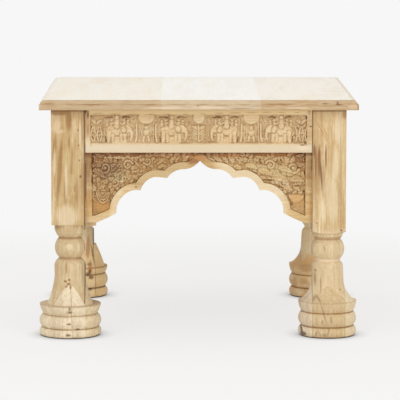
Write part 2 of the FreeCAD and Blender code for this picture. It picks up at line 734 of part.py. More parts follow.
def make_leg(name, side_x, side_y, pattern):
    """Post with its turned foot, and the four cheeks glued round the foot before it was turned."""
    blank = DOC.addObject("PartDesign::Body", name + "_turning")
    sketch = sketch_in(blank, name + "_profile", "XZ_Plane")
    leg_outline(sketch, pattern).draw()
    spin = blank.newObject("PartDesign::Revolution", name + "_spin")
    spin.Profile = sketch
    spin.ReferenceAxis = (sketch, ["V_Axis"])
    spin.Angle = 360
    shift = size(name + "_turning_shift")
    blank.setExpression("Placement.Base.x", shift)
    near = "-(%s)" % HALF_POST, HALF_POST
    square = block(name + "_square", near, near, ("0", UNDERSIDE))
    post = cut(name + "_post", common(name + "_turned_post", blank, square),
               join(name + "_mortises", mortises(name, side_x, side_y)))
    cheek_top = " + ".join(size(pattern + "_" + part) for part in (
        "lower_ring_height", "middle_ring_height", "lip_height", "bell_height"))
    radii = "; ".join(size(pattern + "_" + part) for part in (
        "sole_radius", "ring_radius", "lip_middle_radius", "lip_top_radius"))
    reach = "(max(%s) + abs(%s) + %s)" % (radii, shift, size("cut_overrun"))
    regions = (
        ("left_cheek", span(-1, HALF_POST, reach), ("-(%s)" % reach, reach)),
        ("right_cheek", span(1, HALF_POST, reach), ("-(%s)" % reach, reach)),
        ("front_cheek", near, span(-1, HALF_POST, reach)),
        ("back_cheek", near, span(1, HALF_POST, reach)),
    )
    made = [(post, name + "_leg_post")]
    for cheek, along_x, along_y in regions:
        region = block("%s_%s_region" % (name, cheek), along_x, along_y, ("0", cheek_top))
        made.append((common("%s_%s" % (name, cheek), blank, region), "%s_foot_%s" % (name, cheek)))
    for piece, label in made:
        keep(piece, label)
        for axis, side, along in (("x", side_x, "table_length"), ("y", side_y, "table_depth")):
            piece.setExpression("Placement.Base." + axis, "%d * (%s - %s)" % (side, post_face(along), HALF_POST))


def check_pieces():
    """Stops on a failed object or a shape that isn't sound."""
    for item in DOC.Objects:
        if "Invalid" in item.State or "Error" in item.State:
            raise RuntimeError("%s failed: %s" % (item.Label, item.State))
    for piece in PIECES:
        if piece.Shape.isNull() or not piece.Shape.isValid() or not piece.Shape.Solids:
            raise RuntimeError("%s has no sound shape" % piece.Label)


def main():
    fill_sheet()
    make_top()
    make_battens()
    for side in SIDES:
        make_side(*side)
    make_block_screws()
    for leg in LEGS:
        make_leg(*leg)
    DOC.recompute()
    check_pieces()
    os.makedirs("parts", exist_ok=True)
    for piece in PIECES:
        piece.Shape.exportStep("parts/%s.step" % piece.Label)
    print("%d pieces written" % len(PIECES))


main()
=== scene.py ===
"""Looks of a bajot low table of pale hardwood, with a carved frieze and arch panels on all four sides.

The CAD nodes keep their shapes and get wood materials. The carving is made here as height maps, which lie in
the sunk fields of the rails and arch panels. Metres, with +X to the right, +Y to the back and +Z up.
"""

import math
from types import SimpleNamespace

import bpy
import numpy as np
from mathutils import Matrix, Vector
from mathutils.bvhtree import BVHTree


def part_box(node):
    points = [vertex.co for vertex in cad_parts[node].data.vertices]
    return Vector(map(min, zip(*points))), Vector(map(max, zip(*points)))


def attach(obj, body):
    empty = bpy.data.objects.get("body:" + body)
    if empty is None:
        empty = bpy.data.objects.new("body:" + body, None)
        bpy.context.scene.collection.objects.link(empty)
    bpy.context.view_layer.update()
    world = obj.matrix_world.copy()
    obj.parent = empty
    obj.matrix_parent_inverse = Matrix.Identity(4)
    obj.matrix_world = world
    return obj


MM = 0.001
IMAGE_SIDE = 400

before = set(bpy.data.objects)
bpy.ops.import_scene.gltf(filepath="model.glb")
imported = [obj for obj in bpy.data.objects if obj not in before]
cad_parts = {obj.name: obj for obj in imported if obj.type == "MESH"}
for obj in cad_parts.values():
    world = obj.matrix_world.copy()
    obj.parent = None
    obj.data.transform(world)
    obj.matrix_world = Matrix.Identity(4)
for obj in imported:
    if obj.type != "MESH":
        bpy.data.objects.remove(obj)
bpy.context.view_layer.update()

# Camera of the photograph: place, downward tilt, focal length in pixels and the pixel it looks at straight.
CAMERA_PLACE = (-0.036, -5.341, 0.868)
CAMERA_TILT = math.radians(6.84)
FOCAL_PIXELS = 2699.0
MIDDLE_PIXEL = (179.6, 200.6)
SENSOR_WIDTH = 36.0

# Surroundings. The camera sees the floor's glow mixed with its lit colour.
WHITE = (1.0, 1.0, 1.0, 1.0)
BACKDROP = (0.93, 0.93, 0.93, 1.0)
SKY_LEVEL = 0.70
FLOOR_COLOUR = (0.90, 0.89, 0.875, 1.0)
FLOOR_GLOW = (0.915, 0.912, 0.905, 1.0)
FLOOR_GLOW_SHARE = 0.78
FLOOR_SIDE = 6.0
FLOOR_DROP = 0.0003
FLOOR_FADE = (0.75, 1.5)
CONTACT_REACH = 0.06

# Sides of the table: name and turn about Z.
SIDES = (("front", 0), ("right", 90), ("back", 180), ("left", 270))


class Shader:
    """Node tree of a material or of the world, with short calls for the nodes that are used here."""

    BUMP_STRENGTH = 0.35

    def __init__(self, owner):
        self.owner = owner
        owner.use_nodes = True
        self.tree = owner.node_tree
        self.tree.nodes.clear()

    def add(self, kind, inputs, output=0, **settings):
        """Adds a node, feeds its inputs with values or other nodes' outputs and gives one of its outputs."""
        node = self.tree.nodes.new(kind)
        for name, setting in settings.items():
            setattr(node, name, setting)
        for name, source in inputs.items():
            if isinstance(source, bpy.types.NodeSocket):
                self.tree.links.new(source, node.inputs[name])
            else:
                node.inputs[name].default_value = source
        return node.outputs[output]

    def end(self, kind, surface):
        node = self.tree.nodes.new(kind)
        self.tree.links.new(surface, node.inputs["Surface"])

    def math(self, operation, first, second=0.0):
        return self.add("ShaderNodeMath", {0: first, 1: second}, operation=operation)

    def times(self, first, second):
        return self.math("MULTIPLY", first, second)

    def plus(self, first, second):
        return self.math("ADD", first, second)

    def minus(self, first, second):
        return self.math("SUBTRACT", first, second)

    def vector(self, operation, first, second=(0.0, 0.0, 0.0)):
        output = "Value" if operation == "LENGTH" else "Vector"
        return self.add("ShaderNodeVectorMath", {0: first, 1: second}, output, operation=operation)

    def combined(self, *coordinates):
        return self.add("ShaderNodeCombineXYZ", dict(enumerate(coordinates)))

    def place(self):
        return self.add("ShaderNodeTexCoord", {}, "Object")

    def noise(self, vector, scale, detail=2.0, roughness=0.5):
        inputs = {"Vector": vector, "Scale": scale, "Detail": detail, "Roughness": roughness}
        return self.add("ShaderNodeTexNoise", inputs, "Fac")

    def stretched_noise(self, vector, stretch, detail=2.0, roughness=0.5):
        return self.noise(self.vector("MULTIPLY", vector, stretch), 1.0, detail, roughness)

    def spread(self, value, low, high):
        """Maps a value smoothly so that low gives 0 and high gives 1, held at both ends."""
        inputs = {"Value": value, "From Min": low, "From Max": high}
        return self.add("ShaderNodeMapRange", inputs, "Result", interpolation_type="SMOOTHSTEP")

    def blend(self, factor, first, second):
        """Blend of two colours."""
        return self.add("ShaderNodeMix", {"Factor": factor, 6: first, 7: second}, 2, data_type="RGBA")

    def toned(self, colour, cover, strength, tint):
        """Colour with a tint over it, as strong as its cover times a strength."""
        return self.blend(self.times(cover, strength), colour, tint)

    def mixed(self, factor, first, second):
        """Mix of two surfaces or backgrounds."""
        return self.add("ShaderNodeMixShader", {0: factor, 1: first, 2: second})

    def finish(self, colour, roughness, height, depth, gloss):
        """Ends the tree with a surface that a height roughens. The gloss holds more of its inputs."""
        relief = {"Strength": self.BUMP_STRENGTH, "Distance": depth, "Height": height}
        bump = self.add("ShaderNodeBump", relief, "Normal")
        inputs = {"Base Color": colour, "Roughness": roughness, "Normal": bump, **gloss}
        self.end("ShaderNodeOutputMaterial", self.add("ShaderNodeBsdfPrincipled", inputs))
        return self.owner


def linear(red, green, blue):
    """Colour given as 0 to 255, as a renderer's own linear colour."""
    made = []
    for level in (red, green, blue):
        share = level / 255
        made.append(share / 12.92 if share <= 0.04045 else ((share + 0.055) / 1.055) ** 2.4)
    return (*made, 1.0)


KNOT = linear(80, 50, 30)
DARK_BROWN = linear(116, 78, 44)
BROWN = linear(152, 108, 60)
TAN = linear(190, 150, 96)
RUST = linear(180, 118, 58)
ORANGE = linear(208, 156, 90)
# Dark red-brown of painted shadow under the rails and beside the legs.
SHADOW_BROWN = linear(124, 70, 40)
PLUM = linear(104, 70, 54)
GREY = linear(166, 150, 124)
OLIVE = linear(204, 182, 132)
PINK = linear(226, 198, 164)
CREAM = linear(232, 215, 182)
LINEN = linear(217, 202, 175)
OCHRE = linear(232, 206, 154)
PALE = linear(238, 222, 188)
CARVED = linear(160, 116, 64)
SHADE = linear(92, 62, 34)

# Order of the coordinates that puts the grain along the third of them.
GRAIN_ORDER = {"X": "YZX", "Y": "ZXY", "Z": "XYZ"}
WOOD_ROUGHNESS = 0.51
WOOD_GLOSS = 0.28
FIBRE_DEPTH = 0.0004
RUST_DEPTH = 0.0002
# Half the depth over which spots fade out towards the back, in millimetres.
SPOT_FADE = 8
# Scale that flattens a coordinate away, and a distance beyond every spot.
FLAT = 1.0e6
FAR = 9.0


def wood_patterns(shader, parts, grain, pith, ring, seed):
    """Patterns of a wood: growth rings round its pith, strands, fibres, pores and broad clouds."""
    turned = shader.combined(*(parts[axis] for axis in GRAIN_ORDER[grain]))
    along = shader.vector("ADD", turned, (seed * 1.7, seed * 2.3, seed * 3.1))
    slow = shader.stretched_noise(along, (9.0, 9.0, 3.2))
    quick = shader.stretched_noise(along, (60.0, 60.0, 9.0))
    from_pith = shader.vector("SUBTRACT", turned, (*pith, 0.0))
    radius = shader.vector("LENGTH", shader.vector("MULTIPLY", from_pith, (1.0, 1.0, 0.0)))
    wavy = shader.plus(shader.plus(radius, shader.times(slow, 0.055)), shader.times(quick, 0.0035))
    rings = shader.spread(shader.math("SINE", shader.times(wavy, 2 * math.pi / ring)), -0.5, 1.0)
    uneven = shader.spread(shader.stretched_noise(along, (22.0, 22.0, 4.0), 3.0), 0.35, 0.7)
    wander = shader.times(shader.minus(slow, 0.5), 0.03)
    wandering = shader.vector("ADD", along, shader.combined(wander, wander, 0.0))
    return SimpleNamespace(
        quick=quick,
        rings=shader.times(rings, uneven),
        strand=shader.stretched_noise(wandering, (120.0, 120.0, 6.0), 4.0, 0.65),
        mottle=shader.stretched_noise(along, (300.0, 300.0, 110.0), 3.0, 0.6),
        fibre=shader.stretched_noise(along, (520.0, 520.0, 14.0), 4.0, 0.65),
        pore=shader.spread(shader.stretched_noise(along, (1100.0, 1100.0, 55.0)), 0.64, 0.74),
        broad=shader.stretched_noise(along, (14.0, 14.0, 3.0), 3.0),
    )


def grained(shader, patterns, pale, dark, figure, streaks):
    """Colour of bare wood. The figure is the strength of the rings, the streaks that of the rest."""
    colour = shader.toned(pale, patterns.rings, figure, dark)
    for pattern, none, full, strength, tint in (
            (patterns.strand, 0.5, 0.78, streaks * 1.4, dark),
            (patterns.strand, 0.5, 0.3, streaks, PALE),
            (patterns.fibre, 0.42, 0.72, streaks, dark),
            (patterns.broad, 0.5, 0.8, 0.5, dark),
            (patterns.broad, 0.5, 0.25, 0.35, PALE),
            (patterns.mottle, 0.5, 0.8, streaks * 0.9, TAN),
            (patterns.mottle, 0.5, 0.2, streaks * 0.6, PALE)):
        colour = shader.toned(colour, shader.spread(pattern, none, full), strength, tint)
    return shader.toned(colour, patterns.pore, streaks * 0.9, TAN)


def banded(shader, colour, parts, ragged, pattern, coordinate, low, high, soft, tint, strength):
    """Stain between two limits of one coordinate, in millimetres, with ragged soft edges and a pattern."""
    across = shader.plus(parts[coordinate], shader.times(ragged, soft * MM))
    rising = shader.spread(across, (low - soft / 2) * MM, (low + soft / 2) * MM)
    falling = shader.spread(across, (high + soft / 2) * MM, (high - soft / 2) * MM)
    share = shader.times(shader.times(rising, falling), strength)
    return shader.toned(colour, share, pattern, tint)


def spotted(shader, place, ragged, ovals):
    """Cover of ragged ovals seen from the front: middle X and Z, half width, half height and any lean."""
    nearest = FAR
    for x, z, half_width, half_height, *lean in ovals:
        turn = math.atan(lean[0]) if lean else 0.0
        local = shader.add("ShaderNodeMapping", {
            "Vector": place, "Location": (x * MM, 0.0, z * MM), "Rotation": (0.0, turn, 0.0),
            "Scale": (half_width * MM, FLAT, half_height * MM)}, vector_type="TEXTURE")
        nearest = shader.math("MINIMUM", nearest, shader.vector("LENGTH", local))
    return shader.spread(shader.plus(nearest, ragged), 1.2, 0.5)


def wood(name, pale, dark, grain, pith, ring, figure, streaks, seed, bands=(), sweeps=(), spots=(),
         fade_y=0.0, carved_shade_and_tone=0.85):
    """Raw hardwood with stains, and painted shade in its carved hollows and lower carved places. Its spots
    fade out round fade_y, in millimetres.
    """
    shader = Shader(bpy.data.materials.new(name))
    place = shader.place()
    parts = {axis: shader.add("ShaderNodeSeparateXYZ", {0: place}, axis) for axis in "XYZ"}
    patterns = wood_patterns(shader, parts, grain, pith, ring, seed)
    colour = grained(shader, patterns, linear(*pale), linear(*dark), figure, streaks)

    def carved_share(attribute):
        return shader.add("ShaderNodeAttribute", {}, "Fac", attribute_name=attribute)

    # Painted shade on carved places, darker where they lie deeper and mixed with random patches; then bands,
    # streaks and spots with a ragged edge.
    colour = shader.toned(colour, carved_share("sunk"), carved_shade_and_tone, CARVED)
    ragged = shader.times(shader.minus(patterns.quick, 0.5), 0.9)
    ragged = shader.plus(ragged, shader.times(shader.minus(patterns.fibre, 0.5), 0.8))
    for band in bands:
        colour = banded(shader, colour, parts, ragged, 1.0, *band)
    sweep = shader.spread(shader.stretched_noise(place, (34.0, 34.0, 420.0), 4.0, 0.7), 0.42, 0.66)
    for band in sweeps:
        colour = banded(shader, colour, parts, ragged, sweep, *band)
    if spots:
        near = shader.spread(parts["Y"], (fade_y + SPOT_FADE) * MM, (fade_y - SPOT_FADE) * MM)
        for tint, strength, *ovals in spots:
            cover = spotted(shader, place, ragged, ovals)
            colour = shader.toned(colour, shader.times(cover, near), strength, tint)
    colour = shader.toned(colour, carved_share("crest"), 0.3, PALE)
    # Painted shade in the hollows and cuts of the carving.
    colour = shader.toned(colour, carved_share("hollow_shade"), carved_shade_and_tone, SHADE)

    rough = shader.plus(shader.times(patterns.fibre, 0.22), WOOD_ROUGHNESS)
    height = shader.minus(patterns.fibre, shader.times(patterns.pore, 0.8))
    return shader.finish(colour, rough, height, FIBRE_DEPTH, {"Specular IOR Level": WOOD_GLOSS})


def iron():
    """Dull nails and screws with brown rust in patches."""
    shader = Shader(bpy.data.materials.new("dull_iron"))
    rust = shader.spread(shader.noise(shader.place(), 700.0, 4.0), 0.4, 0.65)
    colour = shader.blend(rust, linear(120, 116, 110), linear(92, 58, 38))
    shine = shader.minus(0.95, shader.times(rust, 0.8))
    rough = shader.plus(0.4, shader.times(rust, 0.4))
    return shader.finish(colour, rough, rust, RUST_DEPTH, {"Metallic": shine})


def dress(node, material):
    """Gives a CAD node its material in every slot."""
    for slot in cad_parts[node].material_slots:
        slot.material = material


# Height maps of the carving. All sizes here are millimetres on the face of a side, seen from outside.


def smooth(share):
    share = np.clip(share, 0.0, 1.0)
    return share * share * (3 - 2 * share)


def blurred(values, rows, columns):
    """Mean of each cell with its neighbours, so many rows and columns to each side."""
    for axis, cells in ((0, rows), (1, columns)):
        margins = [(cells, cells) if side == axis else (0, 0) for side in (0, 1)]
        padded = np.pad(values, margins, mode="edge")
        sums = np.cumsum(padded, axis=axis)
        sums = np.concatenate([np.zeros_like(np.take(sums, [0], axis=axis)), sums], axis=axis)
        size = 2 * cells + 1
        high = np.take(sums, range(size, sums.shape[axis]), axis=axis)
        low = np.take(sums, range(0, sums.shape[axis] - size), axis=axis)
        values = (high - low) / size
    return values


def soft_noise(shape, seed, rows, columns):
    """Smooth noise between -1 and 1, with features some rows and columns in size."""
    noise = np.random.default_rng(seed).standard_normal(shape)
    soft = blurred(blurred(noise, rows, columns), rows, columns)
    return soft / np.abs(soft).max()


class Carving:
    """Height map of a sunk field, in millimetres above its floor, drawn on a slightly bent grid."""

    STEP = 0.9
    CUT_SLOPE = 0.8

    def __init__(self, half_width, bottom, top, ground, bend, seed):
        across = np.arange(-half_width, half_width + self.STEP, self.STEP)
        upward = np.arange(bottom, top + self.STEP, self.STEP)
        self.grid_x, self.grid_z = np.meshgrid(across, upward)
        shape = self.grid_x.shape
        self.seed = seed
        self.x = self.grid_x + bend * soft_noise(shape, seed, 6, 6)
        self.z = self.grid_z + bend * soft_noise(shape, seed + 1, 6, 6)
        self.height = np.full(shape, float(ground))

    def oval(self, x, z, half_width, half_height, turn=0.0):
        """Distance outside an oval, below zero inside."""
        angle = math.radians(turn)
        dx, dz = self.x - x, self.z - z
        along = dx * math.cos(angle) + dz * math.sin(angle)
        across = dz * math.cos(angle) - dx * math.sin(angle)
        return (np.hypot(along / half_width, across / half_height) - 1) * min(half_width, half_height)

    def limb(self, points):
        """Distance outside a bent limb of (x, z, half width) points."""
        nearest = np.full(self.x.shape, 1e3)
        for (x0, z0, half0), (x1, z1, half1) in zip(points, points[1:]):
            dx, dz = x1 - x0, z1 - z0
            share = np.clip(((self.x - x0) * dx + (self.z - z0) * dz) / (dx * dx + dz * dz), 0.0, 1.0)
            half = half0 + share * (half1 - half0)
            apart = np.hypot(self.x - x0 - share * dx, self.z - z0 - share * dz) - half
            nearest = np.minimum(nearest, apart)
        return nearest

    def curl(self, x, z, radius, turns, start, width):
        """Distance outside a spiral scroll that starts at its rim at an angle and winds inward."""
        count = max(8, int(abs(turns) * 12))
        points = []
        for step in range(count + 1):
            share = step / count
            angle = math.radians(start) + share * turns * 2 * math.pi
            reach = radius * (1 - share * 0.78)
            half_width = width / 2 * (1 - 0.35 * share)
            points.append((x + reach * math.cos(angle), z + reach * math.sin(angle), half_width))
        return self.limb(points)

    def laid(self, apart, top, slope, gap, bottom=0.7):
        """Lays a rounded form over what is there, with a narrow groove cut round it."""
        groove = smooth(1 - np.maximum(apart, 0.0) / gap)
        self.height = self.height - np.maximum(self.height - bottom, 0.0) * groove
        inside = np.clip(-apart / slope, 0.0, 1.0)
        form = top * (0.5 + 0.5 * np.sqrt(1 - (1 - inside) ** 2))
        self.height = np.where(apart < 0, form, self.height)

    def laid_limb(self, points, *form):
        """Lays a rounded bent limb."""
        self.laid(self.limb(points), *form)

    def levelled(self, apart, level, slope):
        """Brings the inside of a form to a level, up or down."""
        share = smooth(-apart / slope)
        self.height = self.height * (1 - share) + level * share

    def scored(self, apart, depth):
        """Cuts a groove of a depth where the form is."""
        self.height = self.height - depth * smooth(-apart / self.CUT_SLOPE)

    def scored_line(self, points, depth):
        """Cuts a groove along (x, z, half width) points."""
        self.scored(self.limb(points), depth)

    def lobed_leaf(self, x0, z0, x1, z1, width, bend, top):
        """Lays a curved leaf with lobed edges, a midrib and side veins."""
        length = math.hypot(x1 - x0, z1 - z0)
        dx, dz = (x1 - x0) / length, (z1 - z0) / length
        along = ((self.x - x0) * dx + (self.z - z0) * dz) / length
        share = np.clip(along, 0.0, 1.0)
        across = (self.z - z0) * dx - (self.x - x0) * dz - bend * np.sin(math.pi * share)
        lobes = max(2, round(length / 5.5))
        edge = 0.7 + 0.3 * np.abs(np.sin(lobes * math.pi * share))
        half = width / 2 * np.sin(math.pi * share ** 0.75) ** 0.7 * edge
        apart = np.maximum(np.abs(across) - half, np.maximum(-along, along - 1.0) * length)
        self.laid(apart, top, 2.6, 1.3)
        inside = smooth(-apart / 0.9)
        veins = 0.5 - 0.5 * np.cos(2 * math.pi * (lobes * share - np.abs(across) / 5.0))
        self.height = self.height - inside * (0.8 * veins + smooth(1 - np.abs(across) / 0.9))

    def weathered(self, chop, wear):
        """Wears the sharp edges, then leaves tool marks along and across the grain."""
        self.height = 0.45 * self.height + 0.55 * blurred(self.height, 1, 1)
        marks = ((chop, 1, 1), (0.8 * chop, 3, 1), (0.8 * chop, 1, 3), (wear, 7, 7))
        for number, (depth, rows, columns) in enumerate(marks, 2):
            noise = soft_noise(self.height.shape, self.seed + number, rows, columns)
            self.height = self.height + depth * noise


def figure(carving, x, z, height):
    """Small standing figure with rounded head, body and arms."""
    carving.laid_limb([(x, z + height - 8, 3), (x, z + 1, 2.4)], 4, 2.6, 1)
    carving.laid(carving.oval(x, z + height - 2.6, 2.6, 2.9), 4.4, 2.4, 1)
    carving.scored_line([(x - 3, z + height * 0.4, 0.5), (x + 3, z + height * 0.4, 0.5)], 1.1)


def elephant(carving, x, z, facing):
    """Elephant in profile with a saddle cloth, a rider up to the border and a small figure on each side."""
    def at(points):
        return [(x + facing * ahead, z + up, half_width) for ahead, up, half_width in points]

    def oval(ahead, up, half_width, half_height, turn=0):
        return carving.oval(x + facing * ahead, z + up, half_width, half_height, facing * turn)

    # Flat ground between the legs, and slots beside the rider's head over the figures.
    carving.levelled(carving.limb(at([(-3, -19, 9), (6, -19, 9)])), 4.2, 2.5)
    for side in (-1, 1):
        slot = [(x + side * 9, z + 25, 1.6), (x + side * 15, z + 26.5, 2.6), (x + side * 24, z + 25, 1.6)]
        carving.levelled(carving.limb(slot), 0.1, 1.3)
        figure(carving, x + side * 12, z + 8.5, 14)
        figure(carving, x + side * 19.5, z + 8, 13)
    carving.levelled(carving.limb(at([(-23.5, -9, 1.2), (-22, -20, 2.6)])), 0.2, 1.4)

    # Tail, body, legs, head with its trunk, and ear.
    carving.laid_limb(at([(-21, 5, 1.4), (-24, -2, 1.1), (-23, -9, 1.4)]), 3.8, 1.4, 1)
    carving.laid(np.minimum(oval(-1, 0, 20, 9.5), oval(-13, 0, 9, 10)), 4.5, 6, 1.6)
    for leg in ([(-16, -3, 4.6), (-17, -20, 3.2)], [(-9, -8, 3.4), (-8.5, -20, 2.8)],
                [(7, -8, 3.4), (7, -20, 2.8)], [(13, -3, 4.2), (14.5, -20, 3)]):
        carving.laid_limb(at(leg), 4.6, 3.2, 0.9, 2.2)
    trunk = carving.limb(at([(23, 3, 4.4), (26.5, -4, 3.2), (27, -12, 2.4), (24.5, -18, 1.9)]))
    carving.laid(np.minimum(oval(17.5, 3.5, 8, 8), trunk), 4.8, 3.6, 1.3)
    carving.laid(oval(11.5, 2.5, 5.2, 7, 12), 4.8, 4.5, 1.4)
    for level in (-2, -6, -10, -14):
        carving.scored_line(at([(23, level, 0.4), (29, level, 0.4)]), 0.7)

    # Saddle cloth, eye and rider.
    for edge in ([(-7, 9, 0.6), (-7, -8, 0.6)], [(4, 9, 0.6), (4, -8, 0.6)],
                 [(-7, -7.5, 0.6), (4, -7.5, 0.6)], [(-7, -4.5, 0.5), (4, -4.5, 0.5)]):
        carving.scored_line(at(edge), 1.5)
    carving.scored(oval(19.5, 5.5, 1, 1), 1.8)
    carving.laid_limb(at([(3, 16, 1.7), (8, 13, 1.4), (11, 11, 1.3)]), 4.2, 1.6, 0.9)
    carving.laid_limb(at([(-6, 16, 1.7), (-11, 13, 1.4), (-13, 9, 1.3)]), 4, 1.6, 0.9)
    carving.laid_limb(at([(-1.5, 8, 5.4), (-1.5, 16, 4.4), (-1.5, 21, 4)]), 4.6, 4, 1.1)
    carving.laid(oval(-1.5, 25.5, 3.9, 4.4), 4.8, 3.5, 1.1)
    for level in (11, 17):
        carving.scored_line(at([(-6, level, 0.5), (3, level, 0.5)]), 1.3)


def niche(carving, x, z):
    """Small niche under a plain dome, with a figure in it between two pilasters."""
    carving.levelled(carving.oval(x, z + 25, 17, 13), 4.7, 2.5)
    carving.levelled(carving.limb([(x - 14, z + 11, 0.8), (x + 14, z + 11, 0.8)]), 1, 0.9)
    carving.levelled(carving.limb([(x - 7, z + 3, 7), (x + 7, z + 3, 7)]), 2.4, 2)
    for side in (-1, 1):
        pilaster = [(x + side * 18, z + 12, 2), (x + side * 17.5, z - 8, 1.9), (x + side * 20, z - 20, 2.2)]
        arm = [(x + side * 5, z + 2, 1.8), (x + side * 9.5, z - 4, 1.4), (x + side * 7, z - 9, 1.2)]
        carving.laid_limb(pilaster, 4.7, 1.8, 1.1)
        carving.laid_limb([(x + side * 13.5, z + 10, 1.1), (x + side * 13.5, z - 20, 1.1)], 3.9, 1.2, 0.9)
        carving.laid_limb([(x + side * 3, z - 8, 2.8), (x + side * 5.5, z - 20, 2.2)], 4, 2.6, 0.9)
        carving.laid_limb(arm, 3.8, 1.6, 0.9)
    carving.laid(carving.oval(x, z - 3, 6.4, 7.4), 4.1, 5.5, 1.1)
    carving.laid(carving.oval(x, z + 5.5, 4.2, 4.4), 4.3, 3.6, 1.1)
    for level in (-1, -6):
        carving.scored_line([(x - 6, z + level, 0.5), (x + 6, z + level, 0.5)], 1.1)


def tree(carving, x, z):
    """Small tree of stacked leaves under a plain dome."""
    carving.levelled(carving.oval(x, z + 25, 12, 12), 4.7, 2.5)
    carving.levelled(carving.limb([(x - 14, z + 11, 1), (x + 14, z + 11, 1)]), 0.6, 0.9)
    for level in range(-16, 5, 5):
        for side in (-1, 1):
            root = x + side * 1.5
            carving.lobed_leaf(root, z + level - 3, x + side * 13, z + level + 5, 7.5, side * 1.5, 4.5)
    carving.laid_limb([(x, z + 9, 1.6), (x, z - 20, 2.4)], 4.6, 2, 1.1)


def plant(carving, x, z, lean):
    """Curved stems with small leaves beside the end of the frieze."""
    for level in range(-14, 14, 9):
        for side in (-1, 1):
            carving.lobed_leaf(x, z + level - 2, x + side * 12, z + level + 8, 6.5, side * 2, 4.4)
    for offset, sway in ((-9, 1.5), (-3, -1.5), (3, 1.5), (9, -1.5)):
        stem = [(x + offset + sway * math.sin(level * 0.2) * lean, z + level, 1.7)
                for level in range(-20, 12, 4)]
        carving.laid_limb(stem, 4.5, 2, 1.2, 0.3)


# Frieze, from its left end to its right end: form, place of its middle and the way it faces.
FRIEZE = (
    (plant, -193, 1),
    (elephant, -153, 1),
    (niche, -99),
    (elephant, -50, 1),
    (tree, 0),
    (elephant, 51, -1),
    (niche, 99),
    (elephant, 154, -1),
    (plant, 193, -1),
)
FRIEZE_FLOOR = 367.7
FRIEZE_TOP = 423.4
FRIEZE_MIDDLE = 393.0
FRIEZE_HALF_WIDTH = 206.5
FRIEZE_DEPTH = 5.0
# How far the carving runs on under the borders above and below it.
OVERLAP = 2.5
# Distance between the leaves of the ground.
GROUND_GAP = 9


def frieze_carving():
    """Row of elephants, niches and plants in the sunk field of a rail, over a ground of small leaves."""
    carving = Carving(FRIEZE_HALF_WIDTH, FRIEZE_FLOOR - OVERLAP, FRIEZE_TOP + OVERLAP, 1.9, 1.7, 31)
    random = np.random.default_rng(17)
    for x in range(-204, 206, GROUND_GAP):
        for z in range(374, 420, GROUND_GAP):
            root_x, root_z = x + random.uniform(-2.5, 2.5), z + random.uniform(-2, 2)
            heading = random.uniform(0.5, 2.6)
            tip = root_x + 10 * math.cos(heading), root_z + 10 * math.sin(heading)
            carving.lobed_leaf(root_x, root_z, *tip, random.uniform(4.5, 6.5), random.uniform(-2, 2), 3.3)
    for form, x, *facing in FRIEZE:
        form(carving, x, FRIEZE_MIDDLE, *facing)
    carving.levelled(carving.z - (FRIEZE_FLOOR + 3.0), 4.7, 2.5)
    carving.weathered(0.7, 0.5)
    carving.height = np.clip(carving.height, 0.05, 4.85)
    return carving


# Leaf work of half an arch panel, from the leg to the apex. Scrolls: x, z, radius, turns, start angle.
SCROLLS = (
    (-177, 322, 15, 1.3, 200), (-134, 327, 13, 1.3, 20), (-97, 334, 10, 1.2, 200), (-158, 294, 10, 1.2, 250),
)
# Deep cuts along the leg and under the rail: x, z, half width, half height.
POCKETS = (
    (-200, 336, 2.6, 9), (-199, 312, 2.4, 5), (-201, 297, 2, 8), (-190, 350, 8, 2.2), (-154, 350, 9, 2),
    (-116, 350, 9, 1.8), (-153, 337, 2.2, 3), (-114, 337, 2, 3), (-80, 347, 5, 1.6), (-141, 301, 1.8, 3.5),
    (-165, 306, 2.6, 2), (-197, 276, 2.2, 3),
)
# Broad leaves near the right border and two at the left: root x and z, tip x and z, width.
BROAD_LEAVES = (
    (88, 327, 112, 318, 13), (112, 318, 140, 306, 15), (138, 304, 170, 296, 17), (171, 300, 201, 296, 15),
    (150, 322, 178, 312, 15), (160, 284, 178, 277, 10), (-201, 318, -176, 302, 15),
    (-160, 306, -136, 318, 14),
)
# Cuts round the bowl and the broad leaves, as (x, z, half width) points.
BROAD_CUTS = (
    [(167, 271, 1.2), (171, 262, 1.5), (178, 251, 2)], [(121, 299, 1.6), (137, 298, 2.2)],
    [(181, 287.5, 1.5), (200, 287.5, 2.4)], [(201, 274, 1.4), (201, 244, 1.2)],
    [(96, 314, 1.4), (110, 311, 1.8)], [(150, 287, 1.4), (160, 283, 1.8)],
)
LEAF_GAP = 12.5
ARCH_HALF_WIDTH = 204.5
ARCH_BOTTOM = 226.0
ARCH_TOP = FRIEZE_FLOOR - 14.0
ARCH_DEPTH = 5.5


def leaf_roots(side, offset, middles, random):
    """Roots of the leaves of one half above its arch, the farthest from a scroll first, with that scroll."""
    roots = []
    for x in np.arange(-204, 4, LEAF_GAP):
        for z in np.arange(230, 354, LEAF_GAP):
            if z > 322 + 0.62 * x:
                root = side * x + offset + random.uniform(-2.5, 2.5), z + random.uniform(-2.5, 2.5)
                near = min(middles, key=lambda middle: math.hypot(middle[0] - root[0], middle[1] - root[1]))
                roots.append((math.hypot(near[0] - root[0], near[1] - root[1]), root, near))
    return sorted(roots, reverse=True)


